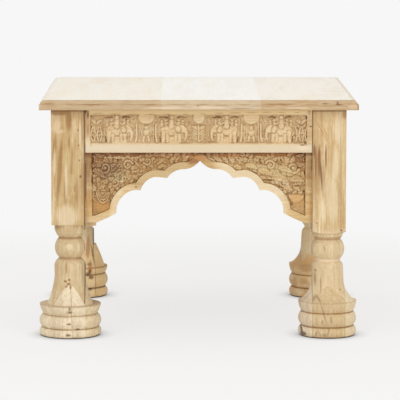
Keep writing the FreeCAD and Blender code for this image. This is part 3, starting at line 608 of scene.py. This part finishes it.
def leaf_work(carving, side, offset, seed):
    """Leaves that sweep round a few scrolls, then the scrolls and deep cuts, on half an arch panel."""
    random = np.random.default_rng(seed)
    middles = [(side * x + offset, z, radius, turns, start if side > 0 else 180 - start)
               for x, z, radius, turns, start in SCROLLS]

    def leaf(root, heading, reach, width, bend, top):
        tip = root[0] + reach * math.cos(heading), root[1] + reach * math.sin(heading)
        carving.lobed_leaf(*root, *tip, width, bend, top)

    for _, root, near in leaf_roots(side, offset, middles, random):
        heading = math.atan2(root[1] - near[1], root[0] - near[0]) + side * random.uniform(0.75, 1.15)
        reach, width = random.uniform(17, 23), random.uniform(9, 12)
        leaf(root, heading, reach, width, side * random.uniform(1.5, 4.5), 4.5)
    for x, z, radius, turns, angle in middles:
        for step in range(5):
            heading = math.radians(angle + 72 * step)
            root = x + 0.7 * radius * math.cos(heading), z + 0.7 * radius * math.sin(heading)
            leaf(root, heading + side, 0.6 * radius + 7, 0.4 * radius + 4.5, side * 2.5, 4.7)
        curl = carving.curl(x, z, 0.75 * radius, side * turns, angle, 0.3 * radius + 1.5)
        carving.laid(curl, 4.6, 3, 1.3)
        carving.laid(carving.oval(x, z, 0.25 * radius, 0.22 * radius), 4.8, 2.5, 1)
    for x, z, half_width, half_height in POCKETS:
        carving.levelled(carving.oval(side * x + offset, z, half_width, half_height), 0, 1.4)


def fan_flower(carving, x, z, half_width, height):
    """Hanging half flower with shells one inside the other, and ribs across them."""
    for number, share in enumerate((1, 0.76, 0.52, 0.3)):
        shell = np.maximum(carving.oval(x, z, half_width * share, height * share), carving.z - z)
        carving.laid(shell, 4.9 - 0.4 * number, 2.6, 1.2)
    for turn in range(-60, 61, 20):
        angle = math.radians(turn - 90)
        tip = x + half_width * math.cos(angle), z + height * math.sin(angle)
        carving.scored_line([(x, z - 4, 0.4), (*tip, 0.5)], 0.7)


def arch_carving():
    """Leaf work of an arch panel, with a hanging half flower at the left and a smooth bowl at the right."""
    carving = Carving(ARCH_HALF_WIDTH, ARCH_BOTTOM, ARCH_TOP, 1.4, 2, 57)
    leaf_work(carving, 1, 0, 71)
    leaf_work(carving, -1, 2, 83)
    lower_left = carving.limb([(-192, 256, 20), (-178, 234, 22)])
    carving.levelled(np.maximum(lower_left, carving.z - 262), 2.2, 2)
    fan_flower(carving, -181, 276, 13.5, 23)
    lower_right = carving.limb([(192, 258, 20), (180, 236, 22)])
    carving.levelled(np.maximum(lower_right, carving.z - 270), 2.2, 2)
    carving.laid(np.maximum(carving.oval(185, 271, 15, 17), carving.z - 271), 4.7, 9, 1.6)
    for *ends, width in BROAD_LEAVES:
        carving.lobed_leaf(*ends, width, 3, 5)
    for cut in BROAD_CUTS:
        carving.levelled(carving.limb(cut), 0.2, 1.4)
    carving.weathered(0.8, 0.7)
    carving.height = np.clip(carving.height, 0.05, 5.3)
    return carving


# Metres in front of a face from which it is searched, how far the search goes, and how near a hit must be.
SEARCH_START = 0.05
SEARCH_REACH = 0.2
SEARCH_NEARNESS = 0.0004


def field_cells(carving, panel, face, floor_depth, margin):
    """Grid points over the sunk field of a front node and a few cells on under its border, lower there."""
    faces = BVHTree.FromObject(panel, bpy.context.evaluated_depsgraph_get())
    inside = np.zeros(carving.x.shape, bool)
    for index in np.ndindex(carving.x.shape):
        origin = Vector((carving.grid_x[index] * MM, face - SEARCH_START, carving.grid_z[index] * MM))
        hit = faces.ray_cast(origin, Vector((0, 1, 0)), SEARCH_REACH)[0]
        inside[index] = hit is not None and abs(hit.y - (face + floor_depth)) < SEARCH_NEARNESS
    cover = blurred(inside.astype(float), margin, margin)
    carving.height = np.maximum(carving.height * (0.45 + 0.55 * smooth(1.6 * cover - 0.6)), 0.05)
    return cover > 1e-6


def carving_shares(carving, tone_and_shade):
    """Shares that the wood reads: how sunk a place is, as painted shade that deepens lower down mixed with
    random patches; painted shade in deep hollows and narrow cuts; and how high its crests stand.
    """
    level = carving.height
    around = blurred(level, 3, 3)
    patches = soft_noise(level.shape, carving.seed + 9, 4, 4)
    clouds = soft_noise(level.shape, carving.seed + 10, 11, 11)
    sunk = 0.6 * smooth(1.1 - level / 4.2) + 0.3 * patches + 0.35 * clouds + tone_and_shade
    # Painted shade in low places and in places lower than their surroundings.
    hollow_shade = 0.8 * np.clip(1.0 - level / 1.4, 0.0, 1.0) + 0.6 * np.clip((around - level) / 2.0, 0.0, 1.0)
    hollow_shade = hollow_shade * (0.9 + 0.4 * patches + 0.6 * clouds)
    hollow_shade = hollow_shade + 0.3 * np.clip(clouds, 0.0, 1.0) * np.clip(2 * tone_and_shade, 0.0, 1.0)
    crest = np.clip((level - around) / 1.1, 0.0, 1.0) * np.clip(level / 4.5, 0.0, 1.0)
    return {"sunk": np.clip(sunk, 0.0, 1.0), "hollow_shade": np.clip(hollow_shade, 0.0, 1.0), "crest": crest}


def carved_piece(name, carving, keep, shares, floor_y, turn, material):
    """Mesh of the kept cells of a height map with its shares, turned to its side of the table."""
    count = int(keep.sum())
    index = np.full(keep.shape, -1)
    index[keep] = np.arange(count)
    depth = np.full(count, floor_y) - carving.height[keep] * MM
    points = np.stack([carving.grid_x[keep] * MM, depth, carving.grid_z[keep] * MM], axis=1)
    full = keep[:-1, :-1] & keep[1:, :-1] & keep[:-1, 1:] & keep[1:, 1:]
    corners = [index[:-1, :-1][full], index[:-1, 1:][full], index[1:, 1:][full], index[1:, :-1][full]]
    mesh = bpy.data.meshes.new(name)
    mesh.from_pydata(points.tolist(), [], np.stack(corners, axis=1).tolist())
    for kind, values in shares.items():
        attribute = mesh.attributes.new(kind, "FLOAT", "POINT")
        attribute.data.foreach_set("value", values[keep].astype(np.float32))
    mesh.transform(Matrix.Rotation(math.radians(turn), 4, "Z"))
    mesh.polygons.foreach_set("use_smooth", [True] * len(mesh.polygons))
    mesh.update()
    piece = bpy.data.objects.new(name, mesh)
    bpy.context.scene.collection.objects.link(piece)
    mesh.materials.append(material)
    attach(piece, "root")


def make_camera():
    camera = bpy.data.cameras.new("camera")
    camera.sensor_width = SENSOR_WIDTH
    camera.lens = FOCAL_PIXELS * camera.sensor_width / IMAGE_SIDE
    camera.shift_x = (IMAGE_SIDE / 2 - MIDDLE_PIXEL[0]) / IMAGE_SIDE
    camera.shift_y = (MIDDLE_PIXEL[1] - IMAGE_SIDE / 2) / IMAGE_SIDE
    camera.clip_start = 0.1
    camera.clip_end = 100.0
    stand = bpy.data.objects.new("camera", camera)
    stand.location = CAMERA_PLACE
    stand.rotation_euler = (math.pi / 2 - CAMERA_TILT, 0.0, 0.0)
    bpy.context.scene.collection.objects.link(stand)
    bpy.context.scene.camera = stand


def make_surroundings():
    """Even grey-white room: camera rays and reflections see the backdrop, other rays see the sky light."""
    world = Shader(bpy.data.worlds.new("studio"))
    bpy.context.scene.world = world.owner
    seen, shiny = (world.add("ShaderNodeLightPath", {}, ray) for ray in ("Is Camera Ray", "Is Glossy Ray"))
    backdrop = world.add("ShaderNodeBackground", {"Color": BACKDROP})
    sky = world.add("ShaderNodeBackground", {"Color": WHITE, "Strength": SKY_LEVEL})
    world.end("ShaderNodeOutputWorld", world.mixed(world.math("MAXIMUM", seen, shiny), sky, backdrop))


# Soft boxes: name, place, the point they face, side length and power.
SOFT_BOXES = (
    ("key", (-1.6, -3.0, 2.6), (0.0, 0.0, 0.3), 2.2, 36.0),
    ("fill", (1.7, -3.2, 0.85), (0.0, 0.0, 0.2), 1.6, 29.0),
    ("overhead", (0.0, 0.3, 3.0), (0.0, 0.0, 0.4), 2.6, 14.0),
)


def make_lights():
    for name, place, target, side, power in SOFT_BOXES:
        lamp = bpy.data.lights.new(name, "AREA")
        lamp.size = side
        lamp.energy = power
        stand = bpy.data.objects.new(name, lamp)
        stand.location = place
        stand.rotation_euler = (Vector(target) - Vector(place)).to_track_quat("-Z", "Y").to_euler()
        bpy.context.scene.collection.objects.link(stand)


def floor_material():
    """Pale floor that keeps the shadow, has a contact shadow painted into the glow that the camera sees
    where the table stands close, and fades out away from the table.
    """
    shader = Shader(bpy.data.materials.new("floor"))
    place = shader.place()
    worn = tuple(0.985 * level for level in FLOOR_COLOUR)
    matt_colour = shader.blend(shader.noise(place, 3.0), FLOOR_COLOUR, worn)
    matt = shader.add("ShaderNodeBsdfDiffuse", {"Color": matt_colour})
    # Painted contact shadow: occlusion darkens the floor's glow near the feet.
    painted_contact_shadow = shader.add("ShaderNodeAmbientOcclusion", {"Distance": CONTACT_REACH}, "AO", samples=8)
    dark = (*(0.03 * level for level in FLOOR_GLOW[:3]), 1.0)
    glow_colour = shader.blend(shader.spread(painted_contact_shadow, 0.1, 0.9), dark, FLOOR_GLOW)
    glow = shader.add("ShaderNodeEmission", {"Color": glow_colour})
    seen = shader.add("ShaderNodeLightPath", {}, "Is Camera Ray")
    lit = shader.mixed(shader.times(seen, FLOOR_GLOW_SHARE), matt, glow)
    away = shader.spread(shader.vector("LENGTH", place), *FLOOR_FADE)
    clear = shader.add("ShaderNodeBsdfTransparent", {})
    shader.end("ShaderNodeOutputMaterial", shader.mixed(shader.times(away, seen), lit, clear))
    return shader.owner


def make_floor():
    """Square floor a hair below the feet."""
    half = FLOOR_SIDE / 2
    corners = [(-half, -half, 0), (half, -half, 0), (half, half, 0), (-half, half, 0)]
    mesh = bpy.data.meshes.new("floor")
    mesh.from_pydata(corners, [], [(0, 1, 2, 3)])
    floor = bpy.data.objects.new("floor", mesh)
    floor.location.z = -FLOOR_DROP
    bpy.context.scene.collection.objects.link(floor)
    mesh.materials.append(floor_material())


# Stains in millimetres. A band has a coordinate, its limits, how soft they are, a tint and a strength.
# A group of spots has a tint, a strength and ovals, each x, z, half width, half height and any lean.


def top_bands(edge):
    """Tones of the moulding of a top board, darkest at the front and the back where its end grain shows. The
    darker moulding is partly painted shade beside the pale, lit top, and a painted shadow line runs along
    its lower edge.
    """
    return (
        ("Y", -302, -287.5, 1, edge, 0.92), ("Y", 287.5, 302, 1, edge, 0.92),
        ("X", -302, -288, 2, edge, 0.08), ("X", 288, 302, 2, edge, 0.3),
        ("Z", 433, 434.8, 1.2, BROWN, 0.5), ("Y", -288.6, -286.6, 1.2, TAN, 0.55),
    )


def top_sweeps(strength):
    """Streaks along the moulding, closer together where it steps."""
    return (
        ("Y", -302, -288, 1, BROWN, strength), ("Y", 288, 302, 1, BROWN, strength),
        ("Z", 442.6, 445.2, 2, BROWN, 0.6),
    )


TOP_FADE_Y = -290
TOP_SPOTS = (
    (PLUM, 0.6, (237, 446, 7, 1.8), (260, 446, 3, 4.5), (261, 444, 6, 1.4), (299, 439, 2.5, 5)),
    (BROWN, 0.6, (-1.6, 441, 2.2, 3.5), (-282, 446.5, 14, 1.3), (-200, 444, 30, 1), (150, 445, 36, 1.2),
     (80, 437, 24, 1.2)),
    (PINK, 0.35, (-300, 440, 4, 7), (290, 440, 10, 7)),
    (CREAM, 0.45, (-60, 438, 40, 2.5), (20, 439, 40, 3), (190, 438, 30, 2)),
)
SIDE_FADE_Y = -262
# Bands of the rails: a paler lower border; a paler upper border, partly painted light against the shade
# under the top's overhang; a dark line under the top, painted contact shadow; and dark joints at both ends.
RAIL_BANDS = (
    ("Z", 351, 366.5, 2, LINEN, 0.75), ("Z", 424, 433.5, 1.5, OCHRE, 0.75),
    ("Z", 433.5, 437, 1.2, BROWN, 0.35),
    ("X", -215.4, -213.4, 0.8, DARK_BROWN, 0.8), ("X", 213.4, 215.4, 0.8, DARK_BROWN, 0.9),
)
# Faint dark marks along the upper border of a rail, painted as shadows of the carved edges there.
RAIL_MARKS = tuple((x + 6 * math.sin(x), 426 + 2 * math.cos(x), 10 + 4 * math.sin(2 * x), 1.5)
                   for x in range(-184, 190, 31))
RAIL_SPOTS = (
    (BROWN, 0.38, *RAIL_MARKS),
    (BROWN, 0.5, (-209.5, 424, 4.5, 10), (208, 428, 6, 5), (-209, 395, 3, 10)),
    (BROWN, 0.3, (-209, 396, 7, 30), (208, 396, 7, 32)),
    (CREAM, 0.4, (-209, 372, 6, 10), (196, 361, 14, 5)),
    (PINK, 0.7, (200, 364, 5, 2.5, 0.8), (203, 425, 4, 6)),
    (KNOT, 0.85, (-213.4, 431, 3.2, 5.5), (-208.5, 424, 1.2, 7)),
    (DARK_BROWN, 0.85, (202.9, 417.8, 1.8, 3.4), (200.4, 370, 1.8, 4.2), (195.7, 366, 5, 1.4),
     (211, 401, 3, 1.6)),
)
# Painted shadow under the rail, across the top of each arch panel: dark at the rail and fading lower down.
UNDER_RAIL_SHADOW_BANDS = (
    ("Z", 345, 353, 3, SHADOW_BROWN, 0.75), ("Z", 332, 346, 8, BROWN, 0.25),
)
# Bare border of the arch panels: the painted shadow under the rail, then greyer left of the apex, rusty at
# it and paler to the right.
BORDER_BANDS = (
    *UNDER_RAIL_SHADOW_BANDS, ("X", -124, -22, 26, GREY, 0.24), ("X", -20, 26, 16, BROWN, 0.3),
    ("X", 34, 166, 26, CREAM, 0.62), ("X", -168, -144, 12, CREAM, 0.5),
)
# Spots of the arch panels. The brown and dark spots under the rail and beside the legs, and the rusty row
# under the rail, are painted shade.
PANEL_SPOTS = (
    (BROWN, 0.65, (-209, 325, 6.5, 32), (-196, 330, 14, 20), (-180, 340, 34, 7), (190, 334, 16, 14),
     (208, 320, 6, 30)),
    (ORANGE, 0.5, (-209.5, 250, 6.5, 33), (-182, 248, 20, 12), (211.2, 244.7, 5, 28), (186, 262, 16, 13)),
    (RUST, 0.55, (150, 347, 44, 3.5), (60, 345, 34, 4), (-60, 346, 40, 4), (-20, 345, 24, 5),
     (-8, 340, 24, 9)),
    (BROWN, 0.32, (-204.5, 296, 5, 52)),
    (DARK_BROWN, 0.75, (-168, 316, 32, 24)),
    (SHADOW_BROWN, 0.45, (-192, 344, 20, 8), (-199, 326, 7, 16), (192, 343, 18, 7), (-12, 334, 14, 6)),
    (OLIVE, 0.4, (-150, 303, 26, 11), (160, 312, 30, 14), (110, 322, 26, 8)),
    (CREAM, 0.45, (-145.8, 297.1, 4, 3), (165, 292, 10, 3.5, 0.8), (150, 297, 10, 4, -0.6)),
    (PINK, 0.5, (-150, 341, 38, 1.2), (-60, 346, 34, 1.1), (-20, 343, 9, 1.4), (84, 346, 16, 1.1)),
    (PLUM, 0.7, (-213.8, 301, 2, 44), (213.8, 330, 1.4, 24)),
    (DARK_BROWN, 0.8, (-118.5, 285.6, 2.4, 1.8), (174.8, 252.3, 3.4, 2.6, -1.2), (-201, 336, 3.6, 12),
     (-201, 300, 3, 10), (198, 338, 5, 8)),
)
# Bands along Z on the feet: the narrow brown and near-black ones are painted shade in the grooves and necks
# of the turnings, the broad orange ones tones of the wood.
FEET_RING_SHADE_AND_TONE = {
    "front_left": (
        (15.4, 17.8, 1.5, BROWN, 0.45), (40.6, 43, 1.5, BROWN, 0.45), (59.4, 60.8, 1.2, BROWN, 0.35),
        (146, 151, 3, BROWN, 0.45), (185, 190, 3, BROWN, 0.55),
    ),
    "front_right": (
        (18.4, 20.8, 1.5, BROWN, 0.75), (45.4, 47.8, 1.5, BROWN, 0.8), (65.6, 67.2, 1.2, BROWN, 0.25),
        (141.5, 147, 1.5, PINK, 0.7), (184, 190, 2.5, BROWN, 0.5),
    ),
    "back_left": (
        (18, 21.2, 1.6, KNOT, 0.6), (46, 49.2, 1.6, KNOT, 0.55), (60.6, 62.8, 1.5, BROWN, 0.6),
    ),
    "back_right": (
        (18, 21.2, 1.6, KNOT, 0.6), (45, 48.2, 1.6, KNOT, 0.6), (-5, 50, 30, ORANGE, 0.4),
        (54, 86, 24, ORANGE, 0.6),
    ),
}
# Painted contact shadow round the sole of each foot.
SOLE_SHADOW_BAND = ("Z", -1, 1.6, 1.6, KNOT, 0.85)
FOOT_BAND = ("Z", -5, 206, 16, CREAM, 0.3)
# Painted contact shadow along the top of each post, under the top boards.
POST_TOP_SHADOW_BAND = ("Z", 429, 436, 2, DARK_BROWN, 0.6)
# Dark seams between the posts and what stands beside them.
SEAM_BANDS = {
    "left": ("X", -217, -213.5, 1, KNOT, 0.75),
    "right": ("X", 213.5, 217, 1, KNOT, 0.3),
}
POST_SPOTS = {
    "front_left": (
        (BROWN, 0.7, (-263.1, 313, 5, 64, 0.08), (-259, 357, 3, 8, 0.1), (-244.2, 414, 6, 26),
         (-264, 428, 20, 7)),
        (BROWN, 0.55, (-244.4, 370, 2.6, 16), (-230.7, 281, 4, 32), (-251.5, 275, 3.5, 30),
         (-250.8, 132, 2.2, 12), (-240, 330, 3, 40, 0.05), (-272, 360, 4, 30, 0.1)),
        (OLIVE, 0.5, (-247.4, 338, 10, 27), (-240, 300, 12, 14)),
        (PINK, 0.55, (-267.8, 403, 8.4, 14, 0.5), (-262, 392, 10, 5), (-234, 400, 5, 22)),
        (BROWN, 0.38, (-218.5, 290, 5, 56), (-219, 400, 3, 36)),
        (CREAM, 0.55, (-224, 385, 2.6, 30), (-272, 330, 3, 30), (-245, 172, 7, 6), (-250, 230, 28, 22),
         (-250, 300, 3, 36)),
        (DARK_BROWN, 0.8, (-226.8, 394, 1.6, 2.2), (-226.3, 365.7, 1.6, 2.2), (-225, 337, 1.7, 2.2),
         (-223.2, 306.5, 2.4, 3.4)),
        (BROWN, 0.85, (-252.5, 106, 3.6, 3), (-247, 101, 4.2, 3.2), (-251, 96.5, 3, 2.6),
         (-245.5, 109, 2.6, 2.6), (-243, 95, 2.2, 4.5)),
        (DARK_BROWN, 0.8, (-243.5, 50.6, 5, 3.2), (-244, 57, 2.5, 4), (-245.6, 28.5, 5.2, 2.4),
         (-246.6, 7.4, 5.4, 3), (-228.6, 18, 4.6, 2)),
        (BROWN, 0.4, (-241, 62, 1.2, 50, -0.04)),
    ),
    "front_right": (
        (DARK_BROWN, 0.85, (227.3, 338, 3.4, 32), (217.9, 355, 1.8, 14), (230.8, 313, 2.5, 38, -0.065),
         (221, 330, 1.5, 30), (240, 342, 1.4, 26)),
        (BROWN, 0.6, (274.3, 424, 5.6, 10), (221.9, 126, 2.8, 3), (221.1, 110, 2.2, 16),
         (268.5, 90, 2.4, 2.4), (238.2, 169, 1.8, 7, -0.3), (232, 100, 1.4, 18)),
        (BROWN, 0.5, (223.3, 320, 9.4, 52), (235, 300, 4, 40)),
        (RUST, 0.45, (232.6, 391, 1.2, 22, -0.55), (237.5, 394, 1, 20, -0.5), (244.9, 351, 1.2, 26),
         (228, 398, 1, 14, -0.5), (251, 380, 1.2, 28, -0.1), (241, 380, 1, 26, -0.3)),
        (CREAM, 0.45, (252.2, 262, 14, 54), (236, 240, 8, 28), (262, 395, 8, 30), (244, 146, 22, 2.6),
         (258, 330, 7, 40)),
        (GREY, 0.5, (268.1, 318, 1.8, 110, -0.007)),
        (PLUM, 0.38, (218.4, 74.5, 2.8, 9, 0.55), (227, 74.5, 2.4, 9, -0.6), (236.6, 47, 1.6, 26, -0.3),
         (250.3, 36, 3, 8), (233.9, 31.4, 2.4, 6), (245.3, 12, 1.6, 9.5, 0.3), (222.6, 9, 1.8, 7, 0.4),
         (229, 9, 1.8, 7, -0.4), (238, 7, 5, 4)),
        (KNOT, 0.8, (213.3, 403, 1.8, 2.2), (223.3, 218, 1.8, 1.8), (269.9, 204, 2, 2.2), (199, 6, 6, 5),
         (196, 14, 2, 8, -0.3)),
    ),
    "back_left": (
        (RUST, 0.65, (-226.7, 102, 4.5, 26), (-222, 60, 5, 20)),
        (GREY, 0.38, (-214, 132, 26, 22)),
        (DARK_BROWN, 0.6, (-216, 86, 2, 24, -0.2), (-210.3, 34, 1, 40), (-224, 70, 5, 3)),
        (KNOT, 0.7, (-227, 50, 6, 5), (-219, 43, 6, 4), (-222, 56, 3, 5, 0.3), (-224, 18, 7, 3)),
    ),
    "back_right": (
        (OLIVE, 0.2, (214, 126, 30, 30)),
        (BROWN, 0.3, (229, 14.7, 8, 7), (224, 33, 12, 8, 0.4), (204, 30, 5, 12), (228, 62, 18, 9)),
        (CREAM, 0.6, (212, 12, 8, 6), (224, 26, 5, 4), (198, 40, 4, 5)),
    ),
}

# Top boards: node, pale and dark tone, pith, ring width, tone of the moulding and strength of its streaks.
# The boards' very pale tones are partly painted light from above.
BOARD_WOODS = (
    ("top_board_left", (242, 237, 226), (231, 219, 196), (0.1, -0.3), 0.012, (190, 163, 124), 0.34),
    ("top_board_centre", (246, 244, 240), (237, 229, 212), (-0.2, 0.05), 0.014, (198, 175, 139), 0.26),
    ("top_board_right", (244, 239, 230), (230, 216, 192), (0.15, 0.35), 0.011, (190, 161, 119), 0.45),
)
RAIL_TONES = ((222, 196, 152), (188, 150, 98))
PANEL_TONES = ((212, 182, 130), (172, 132, 80))
INNER_TONES = ((216, 190, 148), (182, 146, 98))
# Woods that have no stains: name, direction of the grain, ring width, strength of its pattern and seed.
INNER_WOODS = (
    ("inner", "Z", 0.012, 0.4, 8.0), ("inner_x", "X", 0.012, 0.4, 9.0), ("dowel", "X", 0.006, 0.3, 9.5),
)
# Wood of each leg: pale and dark tone, pith, seed and how far back its spots reach. The back legs' tones are
# paler than the front ones', painted light against the shade under the table.
LEG_WOODS = {
    "front_left": ((200, 171, 122), (160, 120, 70), (-0.215, -0.335), 11.0, -248),
    "front_right": ((212, 186, 140), (176, 138, 88), (0.285, -0.215), 12.0, -248),
    "back_left": ((244, 218, 168), (204, 164, 106), (-0.30, 0.20), 13.0, 240),
    "back_right": ((252, 230, 184), (214, 172, 116), (0.30, 0.32), 14.0, 240),
}
# Pale tones of the cheeks of the feet.
CHEEKS = ("left", "right", "front", "back")
CHEEK_HEIGHT = 125
CHEEK_TONES = {
    "front_left": ((238, 224, 192), (230, 212, 176), (238, 224, 194), (224, 200, 156)),
    "front_right": ((234, 218, 192), (226, 208, 172), (208, 184, 142), (220, 196, 150)),
    "back_left": ((236, 208, 156), (234, 204, 152), (238, 210, 158), (224, 194, 142)),
    "back_right": ((252, 230, 186), (248, 224, 176), (252, 230, 184), (228, 198, 148)),
}


def wood_set():
    """Every wood of the table but the legs', by the CAD node or the side that it belongs to."""
    woods = {}
    for seed, (name, pale, dark, pith, ring, edge, strength) in enumerate(BOARD_WOODS):
        woods[name] = wood(name, pale, dark, "Y", pith, ring, 0.35, 0.22, seed + 1.0,
                           bands=top_bands(linear(*edge)), sweeps=top_sweeps(strength), spots=TOP_SPOTS,
                           fade_y=TOP_FADE_Y)
    for number, axis in enumerate("XY"):
        along = axis.lower()
        pith = (0.0, 0.5) if axis == "X" else (0.5, 0.0)
        name = "rail_" + along
        woods[name] = wood(name, *RAIL_TONES, axis, pith, 0.012, 0.3, 0.4, 4.0 + number,
                           bands=RAIL_BANDS, spots=RAIL_SPOTS, fade_y=SIDE_FADE_Y, carved_shade_and_tone=0.8)
        for kind, bands in (("panel_", UNDER_RAIL_SHADOW_BANDS), ("border_", BORDER_BANDS)):
            name = kind + along
            woods[name] = wood(name, *PANEL_TONES, axis, pith, 0.010, 0.4, 0.5, 6.0 + number,
                               bands=bands, spots=PANEL_SPOTS, fade_y=SIDE_FADE_Y)
    for name, grain, ring, strength, seed in INNER_WOODS:
        woods[name] = wood(name, *INNER_TONES, grain, (0.0, 0.0), ring, strength, strength, seed)
    return woods


def low_spots(spots):
    """Groups of spots with only the ovals that reach below the top of the cheeks."""
    low = []
    for tint, strength, *ovals in spots:
        kept = [oval for oval in ovals if oval[1] - oval[3] < CHEEK_HEIGHT]
        if kept:
            low.append((tint, strength, *kept))
    return low


def dress_legs():
    """Woods for the posts and for the cheeks of their feet, which are paler."""
    for corner, (pale, dark, pith, seed, fade_y) in LEG_WOODS.items():
        bands = (*(("Z", *ring) for ring in FEET_RING_SHADE_AND_TONE[corner]), SOLE_SHADOW_BAND)
        post_bands = (FOOT_BAND, POST_TOP_SHADOW_BAND, SEAM_BANDS[corner.split("_")[1]], *bands)
        spots = POST_SPOTS[corner]
        dress(corner + "_leg_post", wood(corner + "_post_wood", pale, dark, "Z", pith, 0.012, 0.4, 0.6, seed,
                                         bands=post_bands, spots=spots, fade_y=fade_y))
        cheek_pith = (pith[0] * 0.8, pith[1] * 1.2)
        for number, (cheek, tone) in enumerate(zip(CHEEKS, CHEEK_TONES[corner]), 1):
            node = "%s_foot_%s_cheek" % (corner, cheek)
            dress(node, wood(node + "_wood", tone, dark, "Z", cheek_pith, 0.016, 0.15, 0.4,
                             seed + 0.2 * number, bands=bands, spots=low_spots(spots), fade_y=fade_y))


def dress_nodes(woods):
    """Woods for the other CAD nodes, by the end of their names, and iron for the nails and screws."""
    metal = iron()
    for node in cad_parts:
        if node.endswith(("_leg_post", "_cheek")):
            continue
        along = "x" if node.startswith(("front", "back")) else "y"
        material = woods.get(node, woods["inner"])
        for ending, found in (
                ("frieze_rail", woods["rail_" + along]), ("arch_panel", woods["border_" + along]),
                ("batten", woods["inner_x"]), ("seam_dowels", woods["dowel"]), ("nails", metal),
                ("screws", metal)):
            if node.endswith(ending):
                material = found
        dress(node, material)


def arch_tone_and_shade(leaves):
    """Darkening of the leaf work: stronger on the left half, and painted shade under the rail and in the
    corners beside the legs.
    """
    tone_and_shade = 0.2 + 0.5 * smooth(-leaves.grid_x / 80) + 0.4 * smooth((leaves.grid_z - 338) / 12)
    return tone_and_shade + 0.3 * smooth((np.abs(leaves.grid_x) - 175) / 20) * smooth((leaves.grid_z - 300) / 20)


def make_carvings(woods):
    """Carved frieze and leaf work in the sunk fields of all four sides."""
    rail_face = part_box("front_frieze_rail")[0][1]
    panel_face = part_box("front_arch_panel")[0][1]
    frieze = frieze_carving()
    frieze_shares = carving_shares(frieze, 0.12)
    rail_keep = np.ones(frieze.x.shape, bool)
    leaves = arch_carving()
    panel_keep = field_cells(leaves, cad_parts["front_arch_panel"], panel_face, ARCH_DEPTH * MM, 2)
    leaves_shares = carving_shares(leaves, arch_tone_and_shade(leaves))
    for side, turn in SIDES:
        along = "x" if side in ("front", "back") else "y"
        carved_piece(side + "_frieze_carving", frieze, rail_keep, frieze_shares,
                     rail_face + FRIEZE_DEPTH * MM, turn, woods["rail_" + along])
        carved_piece(side + "_arch_carving", leaves, panel_keep, leaves_shares,
                     panel_face + ARCH_DEPTH * MM, turn, woods["panel_" + along])


bpy.context.scene.view_settings.view_transform = "Standard"
make_camera()
make_surroundings()
make_lights()
make_floor()
wood_materials = wood_set()
dress_nodes(wood_materials)
dress_legs()
make_carvings(wood_materials)
